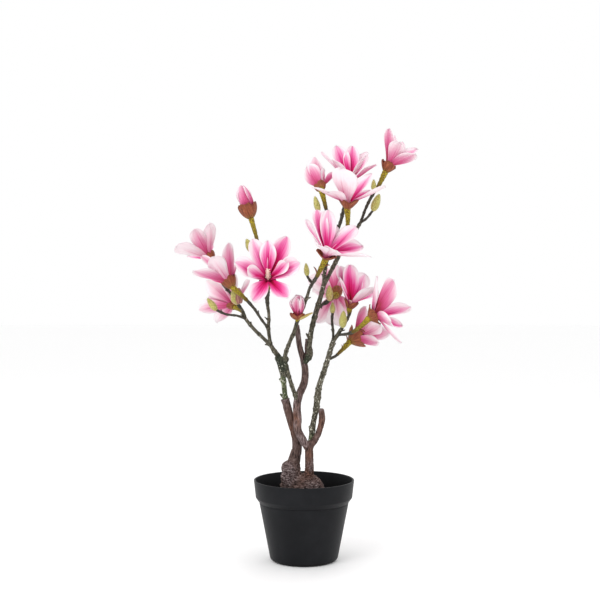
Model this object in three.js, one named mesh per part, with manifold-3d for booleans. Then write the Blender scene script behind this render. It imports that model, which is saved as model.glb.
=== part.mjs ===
// Artificial potted magnolia, 75 cm tall: moulded stems and branches, fabric blooms and buds, plastic pot.
// Millimetres, +Z up. The origin is the middle of the pot's flat underside. The plant's front faces -Y.
import * as THREE from 'three';
import { mergeVertices } from 'three/addons/utils/BufferGeometryUtils.js';
import Module from 'manifold-3d';

const wasm = await Module();
wasm.setup();

// Driving dimensions
const GAP = 0.3; // between a limb and what carries it
const POT_HEIGHT = 140;
const POT_RIM_RADIUS = 88;
const POT_BAND_DEPTH = 30; // the wide band under the rim
const POT_BAND_TAPER = 3.3;
const POT_STEP = 6.2; // how far the band overhangs the wall below it
const POT_STEP_HEIGHT = 9;
const POT_FOOT_RADIUS = 60;
const POT_FOOT_ROUND = 8;
const POT_WALL = 3;
const LIP_ROUND = 1;
const POT_SIDES = 30;
const FILLER_TOP = 116;
const FILLER_INSET = POT_WALL + 2 * GAP;
const STEM_SIDES = 8;
const BOUGH_SIDES = 7;
const TWIG_SIDES = 5;
const PETAL_FOOT = 0.3; // a petal's width at its foot, as a share of its greatest
const KNEE = 0.3; // the share of a petal that rises within its cup
const PETAL_THICKNESS = 1.6;
const PETAL_CUP = 0.45; // how far the edges rise, as a share of the half width
const PETAL_START = 3; // from the bloom's middle line
const SEPAL_LENGTH = 27;
const SEPAL_WIDTH = 17;
const SEPAL_CUP = 0.3;
const SEPAL_START = 2.5;
const CALYX_LENGTH = 17;
const CALYX_FOOT = -4;
const CALYX_FOOT_RADIUS = 3.6;
const CALYX_RADIUS = 7; // of a shut bloom; an open one stands wider
const STAMEN_LENGTH = 30;
const STAMEN_RADIUS = 3;
const CLOSED_BELOW = 20; // a bloom's open is how far its outer petals lean out, in degrees
const STAMENS_SHOW_ABOVE = 55;
const BUD_LENGTH = 30;
const BUD_WIDTH = 14;

const COLOURS = {
  pot: 0x28292c,
  filler: 0x0e0e0f,
  resin: 0x6b4f48,
  bark: 0x4b4a3c,
  bloom: 0xe58ab4,
  bud: 0xb5ae63,
};

function material(colour, roughness) {
  return new THREE.MeshStandardMaterial({ color: colour, roughness, metalness: 0 });
}

// Closed solids from geometries, and geometries from solids
function solidOf(geometry) {
  const bare = geometry.clone();
  bare.deleteAttribute('normal');
  bare.deleteAttribute('uv');
  const merged = mergeVertices(bare, 1e-4);
  return new wasm.Manifold(new wasm.Mesh({
    numProp: 3,
    vertProperties: new Float32Array(merged.attributes.position.array),
    triVerts: new Uint32Array(merged.index.array),
  }));
}

function geometryOf(solid) {
  const mesh = solid.getMesh();
  const geometry = new THREE.BufferGeometry();
  geometry.setAttribute('position', new THREE.BufferAttribute(mesh.vertProperties, 3));
  geometry.setIndex(new THREE.BufferAttribute(mesh.triVerts, 1));
  geometry.computeVertexNormals();
  return geometry;
}

// The largest body of a solid: a loose scrap is dropped, and a hollow that joining sealed is filled
function mainBody(solid) {
  const bodies = solid.decompose();
  return bodies.reduce((best, body) => (body.volume() > best.volume() ? body : best));
}

function joined(solids) {
  return mainBody(solids.reduce((whole, solid) => whole.add(solid)));
}

// Points [x, y, z, radius] give a limb's middle line and its taper
function limbGeometry(points, sides, grow = 0) {
  const curve = new THREE.CatmullRomCurve3(
    points.map(([x, y, z]) => new THREE.Vector3(x, y, z)), false, 'catmullrom', 0.5,
  );
  const stretches = points.length - 1;
  const steps = 2 * stretches;
  const frames = curve.computeFrenetFrames(steps, false);
  const geometry = new THREE.CylinderGeometry(1, 1, 1, sides, steps);
  const place = geometry.attributes.position;
  for (let i = 0; i < place.count; i += 1) {
    const ring = Math.round((place.getY(i) + 0.5) * steps);
    const along = ring / steps;
    const first = Math.min(Math.floor(along * stretches), stretches - 1);
    const blend = along * stretches - first;
    const radius = grow + points[first][3] * (1 - blend) + points[first + 1][3] * blend;
    const spot = curve.getPoint(along)
      .addScaledVector(frames.normals[ring], place.getZ(i) * radius)
      .addScaledVector(frames.binormals[ring], place.getX(i) * radius);
    place.setXYZ(i, spot.x, spot.y, spot.z);
  }
  return geometry;
}

function limb(points, sides, grow = 0) {
  return solidOf(limbGeometry(points, sides, grow));
}

// Pot: one thin wall round a floor, with a wide band under the rim
function potGeometry() {
  const bandFoot = POT_HEIGHT - POT_BAND_DEPTH;
  const bandRadius = POT_RIM_RADIUS - POT_BAND_TAPER;
  const wallRadius = bandRadius - POT_STEP;
  const stepFoot = bandFoot - POT_STEP_HEIGHT;
  const footRadius = POT_FOOT_RADIUS - POT_FOOT_ROUND;
  const profile = [[0, 0], [footRadius, 0]];
  for (const turn of [30, 60, 90]) {
    const angle = THREE.MathUtils.degToRad(turn);
    profile.push([
      footRadius + POT_FOOT_ROUND * Math.sin(angle),
      POT_FOOT_ROUND * (1 - Math.cos(angle)),
    ]);
  }
  profile.push(
    [wallRadius, stepFoot],
    [bandRadius, bandFoot],
    [POT_RIM_RADIUS, POT_HEIGHT - LIP_ROUND],
    [POT_RIM_RADIUS - LIP_ROUND, POT_HEIGHT],
    [POT_RIM_RADIUS - POT_WALL + LIP_ROUND, POT_HEIGHT],
    [POT_RIM_RADIUS - POT_WALL, POT_HEIGHT - LIP_ROUND],
    [bandRadius - POT_WALL, bandFoot],
    [wallRadius - POT_WALL, stepFoot],
    [POT_FOOT_RADIUS - POT_WALL, POT_FOOT_ROUND],
    [footRadius, POT_WALL],
    [0, POT_WALL],
  );
  const geometry = new THREE.LatheGeometry(profile.map(([r, z]) => new THREE.Vector2(r, z)), POT_SIDES);
  return geometry.rotateX(Math.PI / 2);
}

// Filler: the dark weight that holds the stems, a clear GAP inside the pot
function fillerGeometry() {
  const bandRadius = POT_RIM_RADIUS - POT_BAND_TAPER;
  const wallRadius = bandRadius - POT_STEP;
  const stepFoot = POT_HEIGHT - POT_BAND_DEPTH - POT_STEP_HEIGHT;
  const profile = [
    [0, POT_WALL + GAP],
    [POT_FOOT_RADIUS - POT_FOOT_ROUND - GAP, POT_WALL + GAP],
    [POT_FOOT_RADIUS - FILLER_INSET, POT_FOOT_ROUND + GAP],
    [wallRadius - FILLER_INSET, stepFoot],
    [bandRadius - FILLER_INSET, FILLER_TOP],
    [0, FILLER_TOP],
  ];
  const geometry = new THREE.LatheGeometry(profile.map(([r, z]) => new THREE.Vector2(r, z)), POT_SIDES);
  return geometry.rotateX(Math.PI / 2);
}

// Root knot: a bulb on the left and a low mound to the right, cut flat where they stand on the filler
const KNOT_BULB = [[-19, 1, 104, 8], [-21, 1, 126, 17], [-22, 1, 146, 18], [-19, 1, 170, 12.5],
  [-13, 2, 190, 9.4]];
const MOUND_MIDDLE = [2, -4, 122];
const MOUND_REACH = [33, 27, 29];

function knotSolid(grow) {
  const mound = new THREE.SphereGeometry(1, 14, 10);
  mound.scale(...MOUND_REACH.map((reach) => reach + grow));
  mound.translate(...MOUND_MIDDLE);
  const ground = new THREE.BoxGeometry(200, 200, 100).translate(0, 0, FILLER_TOP + GAP - 50);
  return joined([limb(KNOT_BULB, 12, grow), solidOf(mound)]).subtract(solidOf(ground));
}

// Stems and boughs: each stands on the limb named in on, and is cut clear of it and of those in clear
const LIMBS = {
  left_stem: {
    on: 'root_knot',
    sides: STEM_SIDES,
    colour: COLOURS.resin,
    points: [[-13, 2, 184, 8.6], [-12, 2, 199, 8.3], [-14, 2, 214, 8], [-20, 1, 234, 7.2],
      [-26, 0, 254, 7.2], [-33, -2, 281, 7]],
  },
  right_stem: {
    on: 'root_knot',
    sides: STEM_SIDES,
    colour: COLOURS.resin,
    points: [[7, -16, 138, 9], [9, -16, 160, 7.6], [9, -15, 182, 7.3], [10, -14, 199, 7], [21, -12, 214, 5.6],
      [28, -12, 231, 5.2], [31, -12, 247, 5.6], [30, -12, 262, 5]],
  },
  centre_stem: {
    on: 'right_stem',
    sides: STEM_SIDES,
    colour: COLOURS.resin,
    points: [[9, -15, 194, 6.4], [-3, -16, 213, 6.6], [-11, -16, 229, 7], [-11, -14, 246, 7],
      [-12, -10, 270, 6.8], [-8, -6, 289, 6.6], [0, -4, 309, 6.4], [2, -2, 330, 6], [-2, -2, 351, 5.2],
      [-8, -3, 374, 4.8], [-11, -4, 400, 4.2], [-11, -4, 409, 2.6]],
  },
  short_stub: {
    on: 'centre_stem',
    sides: BOUGH_SIDES,
    colour: COLOURS.resin,
    clear: ['centre_bough'],
    points: [[0, 0, 340, 3.6], [4, 1, 356, 3.2], [4, 1, 372, 3], [4, 1, 384, 2.2]],
  },
  left_bough: {
    on: 'left_stem',
    sides: BOUGH_SIDES,
    points: [[-32, -2, 275, 4.2], [-35, 0, 307, 4], [-38, 3, 332, 4], [-42, 5, 350, 4.4], [-52, 7, 364, 3.6],
      [-59, 8, 375, 3.4]],
  },
  inner_bough: {
    on: 'centre_stem',
    sides: BOUGH_SIDES,
    points: [[-11, -9, 276, 3.6], [-22, -15, 308, 3.2], [-29, -16, 333, 3.2], [-33, -14, 355, 3.4],
      [-25, -14, 380, 3], [-17, -18, 399, 3], [-12, -24, 417, 2.8]],
  },
  centre_bough: {
    on: 'centre_stem',
    sides: BOUGH_SIDES,
    points: [[1, -3, 344, 4.4], [10, -9, 358, 5], [9, -12, 374, 4.2], [13, -12, 402, 4], [19, -12, 426, 4],
      [23, -10, 440, 4.2], [30, -7, 463, 3.6], [35, -4, 483, 3.6]],
  },
  right_bough: {
    on: 'right_stem',
    clear: ['centre_stem'],
    sides: BOUGH_SIDES,
    points: [[11, -10, 198, 4.4], [13, -4, 216, 4.4], [15, -2, 232, 4.8], [18, -1, 248, 4], [21, 0, 262, 4.8],
      [24, 2, 286, 5.4], [27, 2, 305, 4.4], [37, 2, 335, 4.2], [51, 2, 382, 3.8]],
  },
  left_fork_bough: {
    on: 'left_bough',
    sides: BOUGH_SIDES,
    points: [[-56, 8, 371, 3], [-67, 10, 382, 3], [-87, 14, 401, 2.8], [-102, 18, 419, 2.8],
      [-107, 20, 432, 2.4], [-113, 24, 441, 2.4]],
  },
  left_upper_bough: {
    on: 'left_bough',
    clear: ['left_fork_bough'],
    sides: BOUGH_SIDES,
    points: [[-57, 8, 371, 2.8], [-60, 3, 386, 2.8], [-62, 1, 405, 3], [-61, 3, 422, 2.4],
      [-63, 5, 446, 2.2]],
  },
  inner_upper_bough: {
    on: 'inner_bough',
    sides: BOUGH_SIDES,
    points: [[-13, -23, 412, 2.6], [-4, -27, 434, 2.5], [4, -33, 456, 2.6], [10, -40, 476, 2.3]],
  },
  top_left_bough: {
    on: 'centre_bough',
    sides: BOUGH_SIDES,
    points: [[34, -4, 478, 3], [36, -1, 502, 3], [40, 3, 524, 2.8], [42, 6, 549, 2.8], [42, 10, 572, 2.4]],
  },
  top_right_bough: {
    on: 'centre_bough',
    clear: ['top_left_bough'],
    sides: BOUGH_SIDES,
    points: [[34, -5, 478, 3.2], [47, -8, 504, 3.2], [59, -8, 527, 3.4], [67, -4, 541, 3.4], [82, 5, 560, 3],
      [100, 22, 590, 2.6]],
  },
  right_upper_bough: {
    on: 'right_bough',
    sides: BOUGH_SIDES,
    points: [[49, 2, 377, 2.8], [58, 0, 392, 3], [67, 0, 406, 2.6], [74, 0, 418, 2.6], [80, 2, 430, 2.4]],
  },
};

// How far out and up an arc gets that leans by first at its start and last at its end, and its lean there
function arc(length, first, last, share) {
  const bend = Math.abs(last - first) > 0.02 ? last - first : 0.02;
  const lean = first + bend * share;
  return [
    (length * (Math.cos(first) - Math.cos(lean))) / bend,
    (length * (Math.sin(lean) - Math.sin(first))) / bend,
    lean,
  ];
}

// One petal: a flattened sphere whose length is bent and whose edges are cupped. It leans from the bloom's
// axis by footLean in its cup, by firstLean where it leaves it, and by lastLean at its tip, in degrees.
function petalGeometry({ length, width, turn, footLean, firstLean, lastLean, cup, start }) {
  const geometry = new THREE.SphereGeometry(1, 4, 4);
  const place = geometry.attributes.position;
  const [foot, first, last] = [footLean, firstLean, lastLean].map(THREE.MathUtils.degToRad);
  const around = THREE.MathUtils.degToRad(turn);
  const outward = new THREE.Vector3(Math.cos(around), Math.sin(around), 0);
  const sideways = new THREE.Vector3(Math.sin(around), -Math.cos(around), 0);
  for (let i = 0; i < place.count; i += 1) {
    const ring = Math.acos(THREE.MathUtils.clamp(-place.getY(i), -1, 1)) / Math.PI;
    const along = 1 - (1 - ring) ** 1.5;
    const round = Math.hypot(place.getX(i), place.getZ(i)) || 1;
    const across = place.getX(i) / round;
    const through = place.getZ(i) / round;
    const half = 0.5 * width * petalOutline(along);
    const lift = cup * half * across * across + 0.5 * PETAL_THICKNESS * through * Math.min(1, 0.3 * half);
    const [cupOut, cupUp, cupLean] = arc(KNEE * length, foot, first, Math.min(1, along / KNEE));
    const bladeShare = Math.max(0, (along - KNEE) / (1 - KNEE));
    const [bladeOut, bladeUp, bladeLean] = arc((1 - KNEE) * length, first, last, bladeShare);
    const lean = along < KNEE ? cupLean : bladeLean;
    const reach = start + cupOut + bladeOut - lift * Math.cos(lean);
    const spot = new THREE.Vector3(0, 0, cupUp + bladeUp + lift * Math.sin(lean))
      .addScaledVector(outward, reach)
      .addScaledVector(sideways, half * across);
    place.setXYZ(i, spot.x, spot.y, spot.z);
  }
  return geometry;
}

// A petal's half width along its length, as a share of its greatest: slim at its foot, round towards its tip
function petalOutline(along) {
  const swell = Math.max(0, Math.sin(Math.PI * Math.min(1, along) ** 2.1)) ** 0.52;
  return along < 0.5 ? Math.max(PETAL_FOOT, swell) : swell;
}

// The petals of one bloom in its own frame, its axis along +Z and its foot at the origin. Each is written as
// its turn round the axis, how far it leans out from it, its length and width, and how much more its tip
// leans: those in front as the photograph shows them, those behind as guessed.
function bloomPetals({ petals }) {
  return petals.map(([turn, lean, length, width, curl = 0]) => ({
    length,
    width,
    turn,
    footLean: 2 + 0.1 * lean,
    firstLean: 4 + 1.12 * lean,
    lastLean: lean + curl,
    cup: PETAL_CUP,
    start: PETAL_START,
  }));
}

function sepals({ open }) {
  return [0, 1, 2].map((i) => ({
    length: SEPAL_LENGTH,
    width: SEPAL_WIDTH,
    turn: 60 + 120 * i,
    footLean: 35 + 0.4 * open,
    firstLean: 28 + 0.5 * open,
    lastLean: 10 + 0.9 * open,
    cup: SEPAL_CUP,
    start: SEPAL_START,
  }));
}

function calyxGeometry(open) {
  const radius = CALYX_RADIUS + 0.1 * open;
  const profile = [
    [0, CALYX_FOOT],
    [CALYX_FOOT_RADIUS, CALYX_FOOT],
    [0.7 * radius, 0],
    [radius, 0.6 * CALYX_LENGTH],
    [0.75 * radius, CALYX_LENGTH],
    [0, CALYX_LENGTH],
  ];
  const geometry = new THREE.LatheGeometry(profile.map(([r, z]) => new THREE.Vector2(r, z)), 7);
  return geometry.rotateX(Math.PI / 2);
}

// Turns a piece built along +Z to an axis, and moves its foot to a point
function placed(geometry, foot, axis) {
  const direction = new THREE.Vector3(...axis).normalize();
  const turnTo = new THREE.Quaternion().setFromUnitVectors(new THREE.Vector3(0, 0, 1), direction);
  return geometry.applyQuaternion(turnTo).translate(foot[0], foot[1], foot[2]);
}

function bloomSolids(foot, bloom) {
  const pieces = [calyxGeometry(bloom.open)];
  if (bloom.open < CLOSED_BELOW) {
    pieces.push(closedBloomGeometry(bloom), ...sepals(bloom).map(petalGeometry));
  } else {
    pieces.push(...bloomPetals(bloom).map(petalGeometry));
  }
  if (bloom.open > STAMENS_SHOW_ABOVE) {
    const stamens = new THREE.CylinderGeometry(0.6 * STAMEN_RADIUS, STAMEN_RADIUS, STAMEN_LENGTH, 5);
    pieces.push(stamens.rotateX(Math.PI / 2).translate(0, 0, 0.5 * STAMEN_LENGTH + 2));
  }
  return pieces.map((piece) => solidOf(placed(piece, foot, bloom.axis)));
}

// An unopened bloom: an egg of wrapped petals
function closedBloomGeometry({ length, plump }) {
  const geometry = new THREE.SphereGeometry(1, 8, 7).rotateX(Math.PI / 2);
  geometry.scale(length * plump, length * plump, 0.5 * length).translate(0, 0, 0.5 * length + 4);
  return geometry;
}

// A furry green bud: an egg on the end of its twig
function budSolid(foot, { axis, length = BUD_LENGTH, width = BUD_WIDTH }) {
  const geometry = new THREE.SphereGeometry(1, 6, 5).rotateX(Math.PI / 2);
  geometry.scale(0.5 * width, 0.5 * width, 0.5 * length).translate(0, 0, 0.4 * length);
  return solidOf(placed(geometry, foot, axis));
}

// Sprays: twigs that end in blooms and buds. Each stands on one bough and is one mass of its own.
const SPRAYS = {
  spray_left_outer: {
    on: 'left_fork_bough',
    twigs: [
      { points: [[-111, 23, 438, 2.4], [-122, 30, 455, 2.3], [-140, 40, 476, 2.6], [-156, 50, 498, 3],
        [-164, 60, 520, 3.6]],
        bloom: {
          axis: [-0.55, 0.3, 0.78], open: 39,
          petals: [
            [233, 57, 78, 32], [272, 54, 78, 28], [300, 57, 76, 26], [124, 42, 66, 28], [49, 17, 70, 24],
            [80, 42, 70, 28],
          ],
        } },
    ],
  },
  spray_left_front: {
    on: 'left_upper_bough',
    twigs: [
      { points: [[-62, 1, 403, 2.4], [-75, -5, 421, 2.2], [-86, -9, 438, 2.4], [-102, -13, 456, 3],
        [-123, -16, 475, 3.8]],
        bloom: {
          axis: [-0.5, 0.35, 0.79], open: 50,
          petals: [
            [300, 47, 80, 26, -6], [234, 63, 84, 30], [21, 28, 76, 24], [263, 54, 72, 30, -10],
            [196, 8, 80, 26], [85, 23, 76, 30], [70, 42, 74, 30], [115, 42, 74, 30],
          ],
        } },
    ],
  },
  spray_left_back: {
    on: 'left_fork_bough',
    clear: ['spray_left_outer'],
    twigs: [
      { points: [[-105, 20, 427, 2.4], [-112, 34, 434, 2.8], [-122, 48, 439, 3.6]],
        bloom: {
          axis: [-0.48, 0.75, 0.45], open: 52,
          petals: [
            [246, 24, 76, 30], [177, 42, 72, 30], [123, 50, 70, 28], [2, 48, 74, 14], [166, 15, 70, 28],
            [114, 36, 56, 24], [300, 45, 70, 28],
          ],
        } },
    ],
  },
  spray_left_tall: {
    on: 'left_upper_bough',
    twigs: [
      { points: [[-62, 4, 432, 2.2], [-66, 20, 452, 2.2], [-70, 32, 490, 2.3], [-75, 38, 524, 2.4],
        [-84, 44, 562, 2.8], [-94, 50, 597, 3.6]],
        bloom: { axis: [-0.3, 0, 0.95], open: 8, length: 60, plump: 0.19 } },
      { points: [[-73, 36, 514, 2], [-84, 37, 528, 2], [-92, 38, 538, 2.2]],
        bud: { axis: [-0.4, 0, 0.9], length: 26 } },
    ],
  },
  spray_left_centre: {
    on: 'left_upper_bough',
    clear: ['spray_left_tall'],
    twigs: [
      { points: [[-63, 5, 442, 2.4], [-63, 0, 457, 2.8], [-62, -18, 470, 3.2], [-61, -42, 487, 3.8]],
        bloom: {
          axis: [0, -0.88, 0.47], open: 58,
          petals: [
            [173, 46, 76, 36], [116, 58, 76, 30], [90, 52, 68, 28], [64, 60, 82, 30], [7, 46, 72, 32],
            [304, 61, 66, 30, 10], [246, 60, 66, 30, 10], [184, 40, 58, 22, -20], [12, 34, 60, 20, -10],
          ],
        } },
    ],
  },
  spray_centre_bud: {
    on: 'inner_bough',
    clear: ['inner_upper_bough'],
    twigs: [
      { points: [[-13, -22, 412, 2.6], [-12, -27, 420, 3]],
        bloom: { axis: [0.05, -0.15, 1], open: 8, length: 42, plump: 0.26 } },
    ],
  },
  spray_centre_front: {
    on: 'inner_upper_bough',
    twigs: [
      { points: [[9, -39, 473, 2.4], [14, -46, 482, 2.8], [22, -56, 495, 3.2], [36, -66, 523, 4]],
        bloom: {
          axis: [0.25, -0.43, 0.87], open: 54,
          petals: [
            [188, 39, 80, 17], [126, 42, 86, 26], [52, 50, 80, 30], [35, 72, 76, 28], [342, 64, 82, 30],
            [243, 47, 64, 30], [280, 48, 62, 30], [108, 37, 84, 30], [87, 48, 66, 30],
          ],
        } },
      { points: [[14, -46, 482, 2.2], [8, -46, 490, 2.2], [5, -46, 496, 2.2]],
        bud: { axis: [-0.1, 0, 1], length: 22, width: 9 } },
    ],
  },
  spray_top_left: {
    on: 'top_left_bough',
    twigs: [
      { points: [[42, 10, 569, 2.4], [41, 12, 598, 2.8], [36, 9, 622, 3.2], [30, 6, 645, 4]],
        bloom: {
          axis: [-0.22, 0.79, 0.62], open: 27,
          petals: [
            [287, 11, 74, 32], [231, 16, 60, 34], [150, 8, 64, 28], [4, 33, 56, 13], [11, 16, 60, 24],
            [80, 18, 64, 26],
          ],
        } },
      { points: [[41, 12, 580, 2], [32, 6, 594, 2], [25, 4, 608, 2.2]],
        bud: { axis: [-0.25, 0, 1], length: 28, width: 11 } },
    ],
  },
  spray_top_middle: {
    on: 'top_left_bough',
    clear: ['spray_top_left'],
    twigs: [
      { points: [[42, 6, 546, 2.4], [52, 12, 562, 2.4], [63, 24, 586, 2.8], [72, 44, 618, 3.2],
        [83, 64, 654, 4]],
        bloom: {
          axis: [-0.08, -0.31, 0.95], open: 47,
          petals: [
            [114, 28, 80, 30], [50, 46, 74, 28], [326, 29, 76, 30], [205, 26, 62, 28], [145, 42, 82, 9],
            [76, 29, 76, 28], [69, 43, 74, 28, 20], [319, 51, 76, 18],
          ],
        } },
    ],
  },
  spray_top_front: {
    on: 'top_right_bough',
    twigs: [
      { points: [[68, -4, 542, 2.4], [73, -16, 562, 2.8], [75, -24, 588, 3.2], [74, -28, 610, 4]],
        bloom: {
          axis: [0.1, -0.3, 0.95], open: 54,
          petals: [
            [227, 21, 78, 46, -5], [198, 61, 76, 28], [337, 51, 80, 30], [44, 40, 76, 29],
            [228, 50, 62, 28, 10], [50, 66, 64, 26], [113, 48, 68, 28], [100, 50, 66, 28],
          ],
        } },
    ],
  },
  spray_top_right: {
    on: 'top_right_bough',
    twigs: [
      { points: [[99, 21, 587, 2.4], [108, 27, 612, 2.4], [120, 35, 636, 2.8], [133, 43, 656, 3.2],
        [145, 50, 680, 4]],
        bloom: {
          axis: [0.45, 0.02, 0.88], open: 39,
          petals: [
            [234, 36, 80, 28], [301, 56, 76, 28], [43, 31, 80, 30], [115, 25, 76, 30], [268, 45, 74, 30],
            [62, 36, 74, 28], [89, 26, 72, 26], [80, 52, 68, 28],
          ],
        } },
      { points: [[118, 34, 632, 2], [121, 34, 640, 1.9], [123, 34, 646, 1.9]],
        bud: { axis: [0, 0, 1], length: 20, width: 9 } },
    ],
  },
  spray_right_back: {
    on: 'centre_bough',
    twigs: [
      { points: [[23, -9, 438, 2.4], [31, 2, 444, 2.6], [40, 20, 450, 3.2], [57, 44, 461, 4]],
        bloom: {
          axis: [-0.08, 0.95, 0.3], open: 53,
          petals: [
            [205, 36, 72, 31], [164, 31, 68, 28], [245, 28, 76, 30], [287, 26, 74, 30], [120, 70, 76, 30],
            [99, 72, 70, 28], [86, 76, 72, 28], [330, 30, 66, 26], [60, 60, 64, 26],
          ],
        } },
      { points: [[33, 4, 445, 2], [41, 2, 448, 2], [44, 0, 453, 2]],
        bud: { axis: [0, 0, 1], length: 27, width: 13 } },
    ],
  },
  spray_right_upper: {
    on: 'right_upper_bough',
    twigs: [
      { points: [[78, 2, 426, 2.6], [79, 4, 432, 3.4], [79, 6, 438, 4]],
        bloom: {
          axis: [0.3, -0.12, 0.94], open: 42,
          petals: [
            [121, 30, 80, 32], [303, 42, 69, 28], [77, 36, 76, 30], [138, 38, 78, 26], [190, 34, 58, 24],
            [92, 39, 70, 28], [53, 60, 68, 26],
          ],
        } },
    ],
  },
  spray_right_outer: {
    on: 'right_upper_bough',
    twigs: [
      { points: [[59, 0, 393, 2.4], [70, -14, 394, 2.4], [82, -26, 398, 3], [97, -38, 409, 3.2],
        [110, -48, 423, 4]],
        bloom: {
          axis: [0.85, 0.1, 0.5], open: 55,
          petals: [
            [240, 48, 90, 36], [206, 56, 74, 24, -10], [324, 79, 82, 12], [41, 16, 78, 30],
            [293, 74, 66, 32], [150, 49, 60, 24, -10], [32, 47, 66, 28], [84, 43, 68, 28],
          ],
        } },
    ],
  },
  spray_right_lower: {
    on: 'right_bough',
    twigs: [
      { points: [[42, 2, 350, 2.6], [54, 10, 354, 2.4], [66, 18, 364, 3], [81, 26, 379, 4]],
        bloom: {
          axis: [0.8, 0.3, 0.5], open: 33,
          petals: [
            [237, 53, 72, 30], [280, 41, 66, 28], [305, 37, 74, 28], [305, 67, 62, 26], [40, 35, 62, 26],
            [348, 16, 70, 26], [90, 38, 66, 28],
          ],
        } },
    ],
  },
  bud_twig_left_low: {
    on: 'left_fork_bough',
    twigs: [
      { points: [[-102, 18, 419, 2], [-116, 13, 425, 2], [-136, 6, 428, 2], [-153, 0, 436, 2.4]],
        bud: { axis: [-0.6, -0.1, 0.8], length: 27, width: 12 } },
    ],
  },
  bud_twig_left: {
    on: 'left_fork_bough',
    clear: ['spray_left_outer', 'spray_left_back'],
    twigs: [
      { points: [[-111, 22, 438, 2], [-115, 16, 443, 2.2], [-117, 14, 447, 2.6]],
        bud: { axis: [-0.2, -0.2, 1], length: 30, width: 20 } },
    ],
  },
  bud_twig_top_right: {
    on: 'top_right_bough',
    clear: ['spray_top_right'],
    twigs: [
      { points: [[98, 20, 587, 2], [110, 18, 596, 2], [121, 14, 610, 2.2]],
        bud: { axis: [0.35, -0.1, 0.93], length: 32, width: 15 } },
    ],
  },
  bud_twig_right_inner: {
    on: 'right_bough',
    clear: ['right_upper_bough'],
    twigs: [
      { points: [[50, 3, 378, 2.2], [51, 7, 396, 2.2], [49, 10, 416, 2.2], [50, 12, 430, 2.4]],
        bud: { axis: [0, 0, 1], length: 20, width: 9 } },
    ],
  },
  bud_twig_right: {
    on: 'right_upper_bough',
    clear: ['spray_right_outer'],
    twigs: [
      { points: [[66, 0, 404, 2], [67, -7, 405, 2.2], [67, -10, 407, 2.4]],
        bud: { axis: [0.05, -0.1, 1], length: 30, width: 14 } },
    ],
  },
};

function spraySolid({ twigs }) {
  const solids = [];
  for (const { points, bloom, bud } of twigs) {
    const foot = points[points.length - 1];
    solids.push(limb(points, TWIG_SIDES));
    if (bloom) solids.push(...bloomSolids(foot, bloom));
    if (bud) solids.push(budSolid(foot, bud));
  }
  return joined(solids);
}

// What a limb or spray is cut clear of: the same shapes, a GAP fatter
function fatter(name) {
  if (name === 'root_knot') return knotSolid(GAP);
  if (LIMBS[name]) return limb(LIMBS[name].points, LIMBS[name].sides, GAP);
  const stems = SPRAYS[name].twigs.map(({ points }) => limb(points, TWIG_SIDES, GAP));
  return stems.reduce((whole, stem) => whole.add(stem));
}

function cutClear(solid, { on, clear = [] }) {
  return mainBody([on, ...clear].reduce((left, name) => left.subtract(fatter(name)), solid));
}

const magnolia = new THREE.Group();

function addPart(name, geometry, colour, roughness) {
  const mesh = new THREE.Mesh(geometry, material(colour, roughness));
  mesh.name = name;
  magnolia.add(mesh);
}

addPart('pot', potGeometry(), COLOURS.pot, 0.55);
addPart('filler', fillerGeometry(), COLOURS.filler, 0.95);
addPart('root_knot', geometryOf(knotSolid(0)), COLOURS.resin, 0.8);
for (const [name, row] of Object.entries(LIMBS)) {
  const solid = cutClear(limb(row.points, row.sides), row);
  addPart(name, geometryOf(solid), row.colour ?? COLOURS.bark, 0.85);
}
for (const [name, row] of Object.entries(SPRAYS)) {
  const colour = name.startsWith('bud') ? COLOURS.bud : COLOURS.bloom;
  addPart(name, geometryOf(cutClear(spraySolid(row), row)), colour, 0.7);
}

export default magnolia;
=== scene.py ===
import math

import bmesh
import bpy
from mathutils import Matrix, Vector, noise
from mathutils.geometry import interpolate_bezier


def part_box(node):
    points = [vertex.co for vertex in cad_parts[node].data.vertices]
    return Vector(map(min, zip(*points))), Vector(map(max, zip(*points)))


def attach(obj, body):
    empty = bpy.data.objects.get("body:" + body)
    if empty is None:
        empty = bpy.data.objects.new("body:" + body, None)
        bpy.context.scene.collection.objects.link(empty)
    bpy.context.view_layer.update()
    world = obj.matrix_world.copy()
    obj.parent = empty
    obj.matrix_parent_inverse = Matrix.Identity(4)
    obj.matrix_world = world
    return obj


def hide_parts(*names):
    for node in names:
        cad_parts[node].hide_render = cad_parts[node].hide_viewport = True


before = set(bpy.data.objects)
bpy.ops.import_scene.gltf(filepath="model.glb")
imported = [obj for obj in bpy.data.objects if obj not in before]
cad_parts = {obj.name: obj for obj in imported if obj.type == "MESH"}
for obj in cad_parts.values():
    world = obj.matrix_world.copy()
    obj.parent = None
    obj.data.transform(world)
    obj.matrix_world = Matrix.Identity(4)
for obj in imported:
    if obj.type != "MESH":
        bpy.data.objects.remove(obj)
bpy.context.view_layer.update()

# Floor, lights and camera. The plant stands on a plain pale floor in a white studio. One large soft lamp
# stands in front on the left, a weaker one on the right, one behind, and the camera is level with the stems.
# Every size below is in millimetres, and MM brings it to the frame's metres.
MM = 0.001
PICTURE_MIDDLE = Vector((-7, 0, 453))
CAMERA_PLACE = Vector((-7, -2000, 500))
PICTURE_WIDTH = 1043  # what the picture shows across, at the plant
SENSOR_WIDTH = 36
FLOOR_REACH = 9000
FLOOR_DROP = 0.1
WORLD_STRENGTH = 1.0
LAMPS = {
    "key_lamp": dict(place=(-1300, -1700, 1900), side=1300, watts=19),
    "fill_lamp": dict(place=(1700, -1300, 1100), side=1400, watts=4),
    "back_lamp": dict(place=(500, 1600, 1700), side=1400, watts=7),
}


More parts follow.
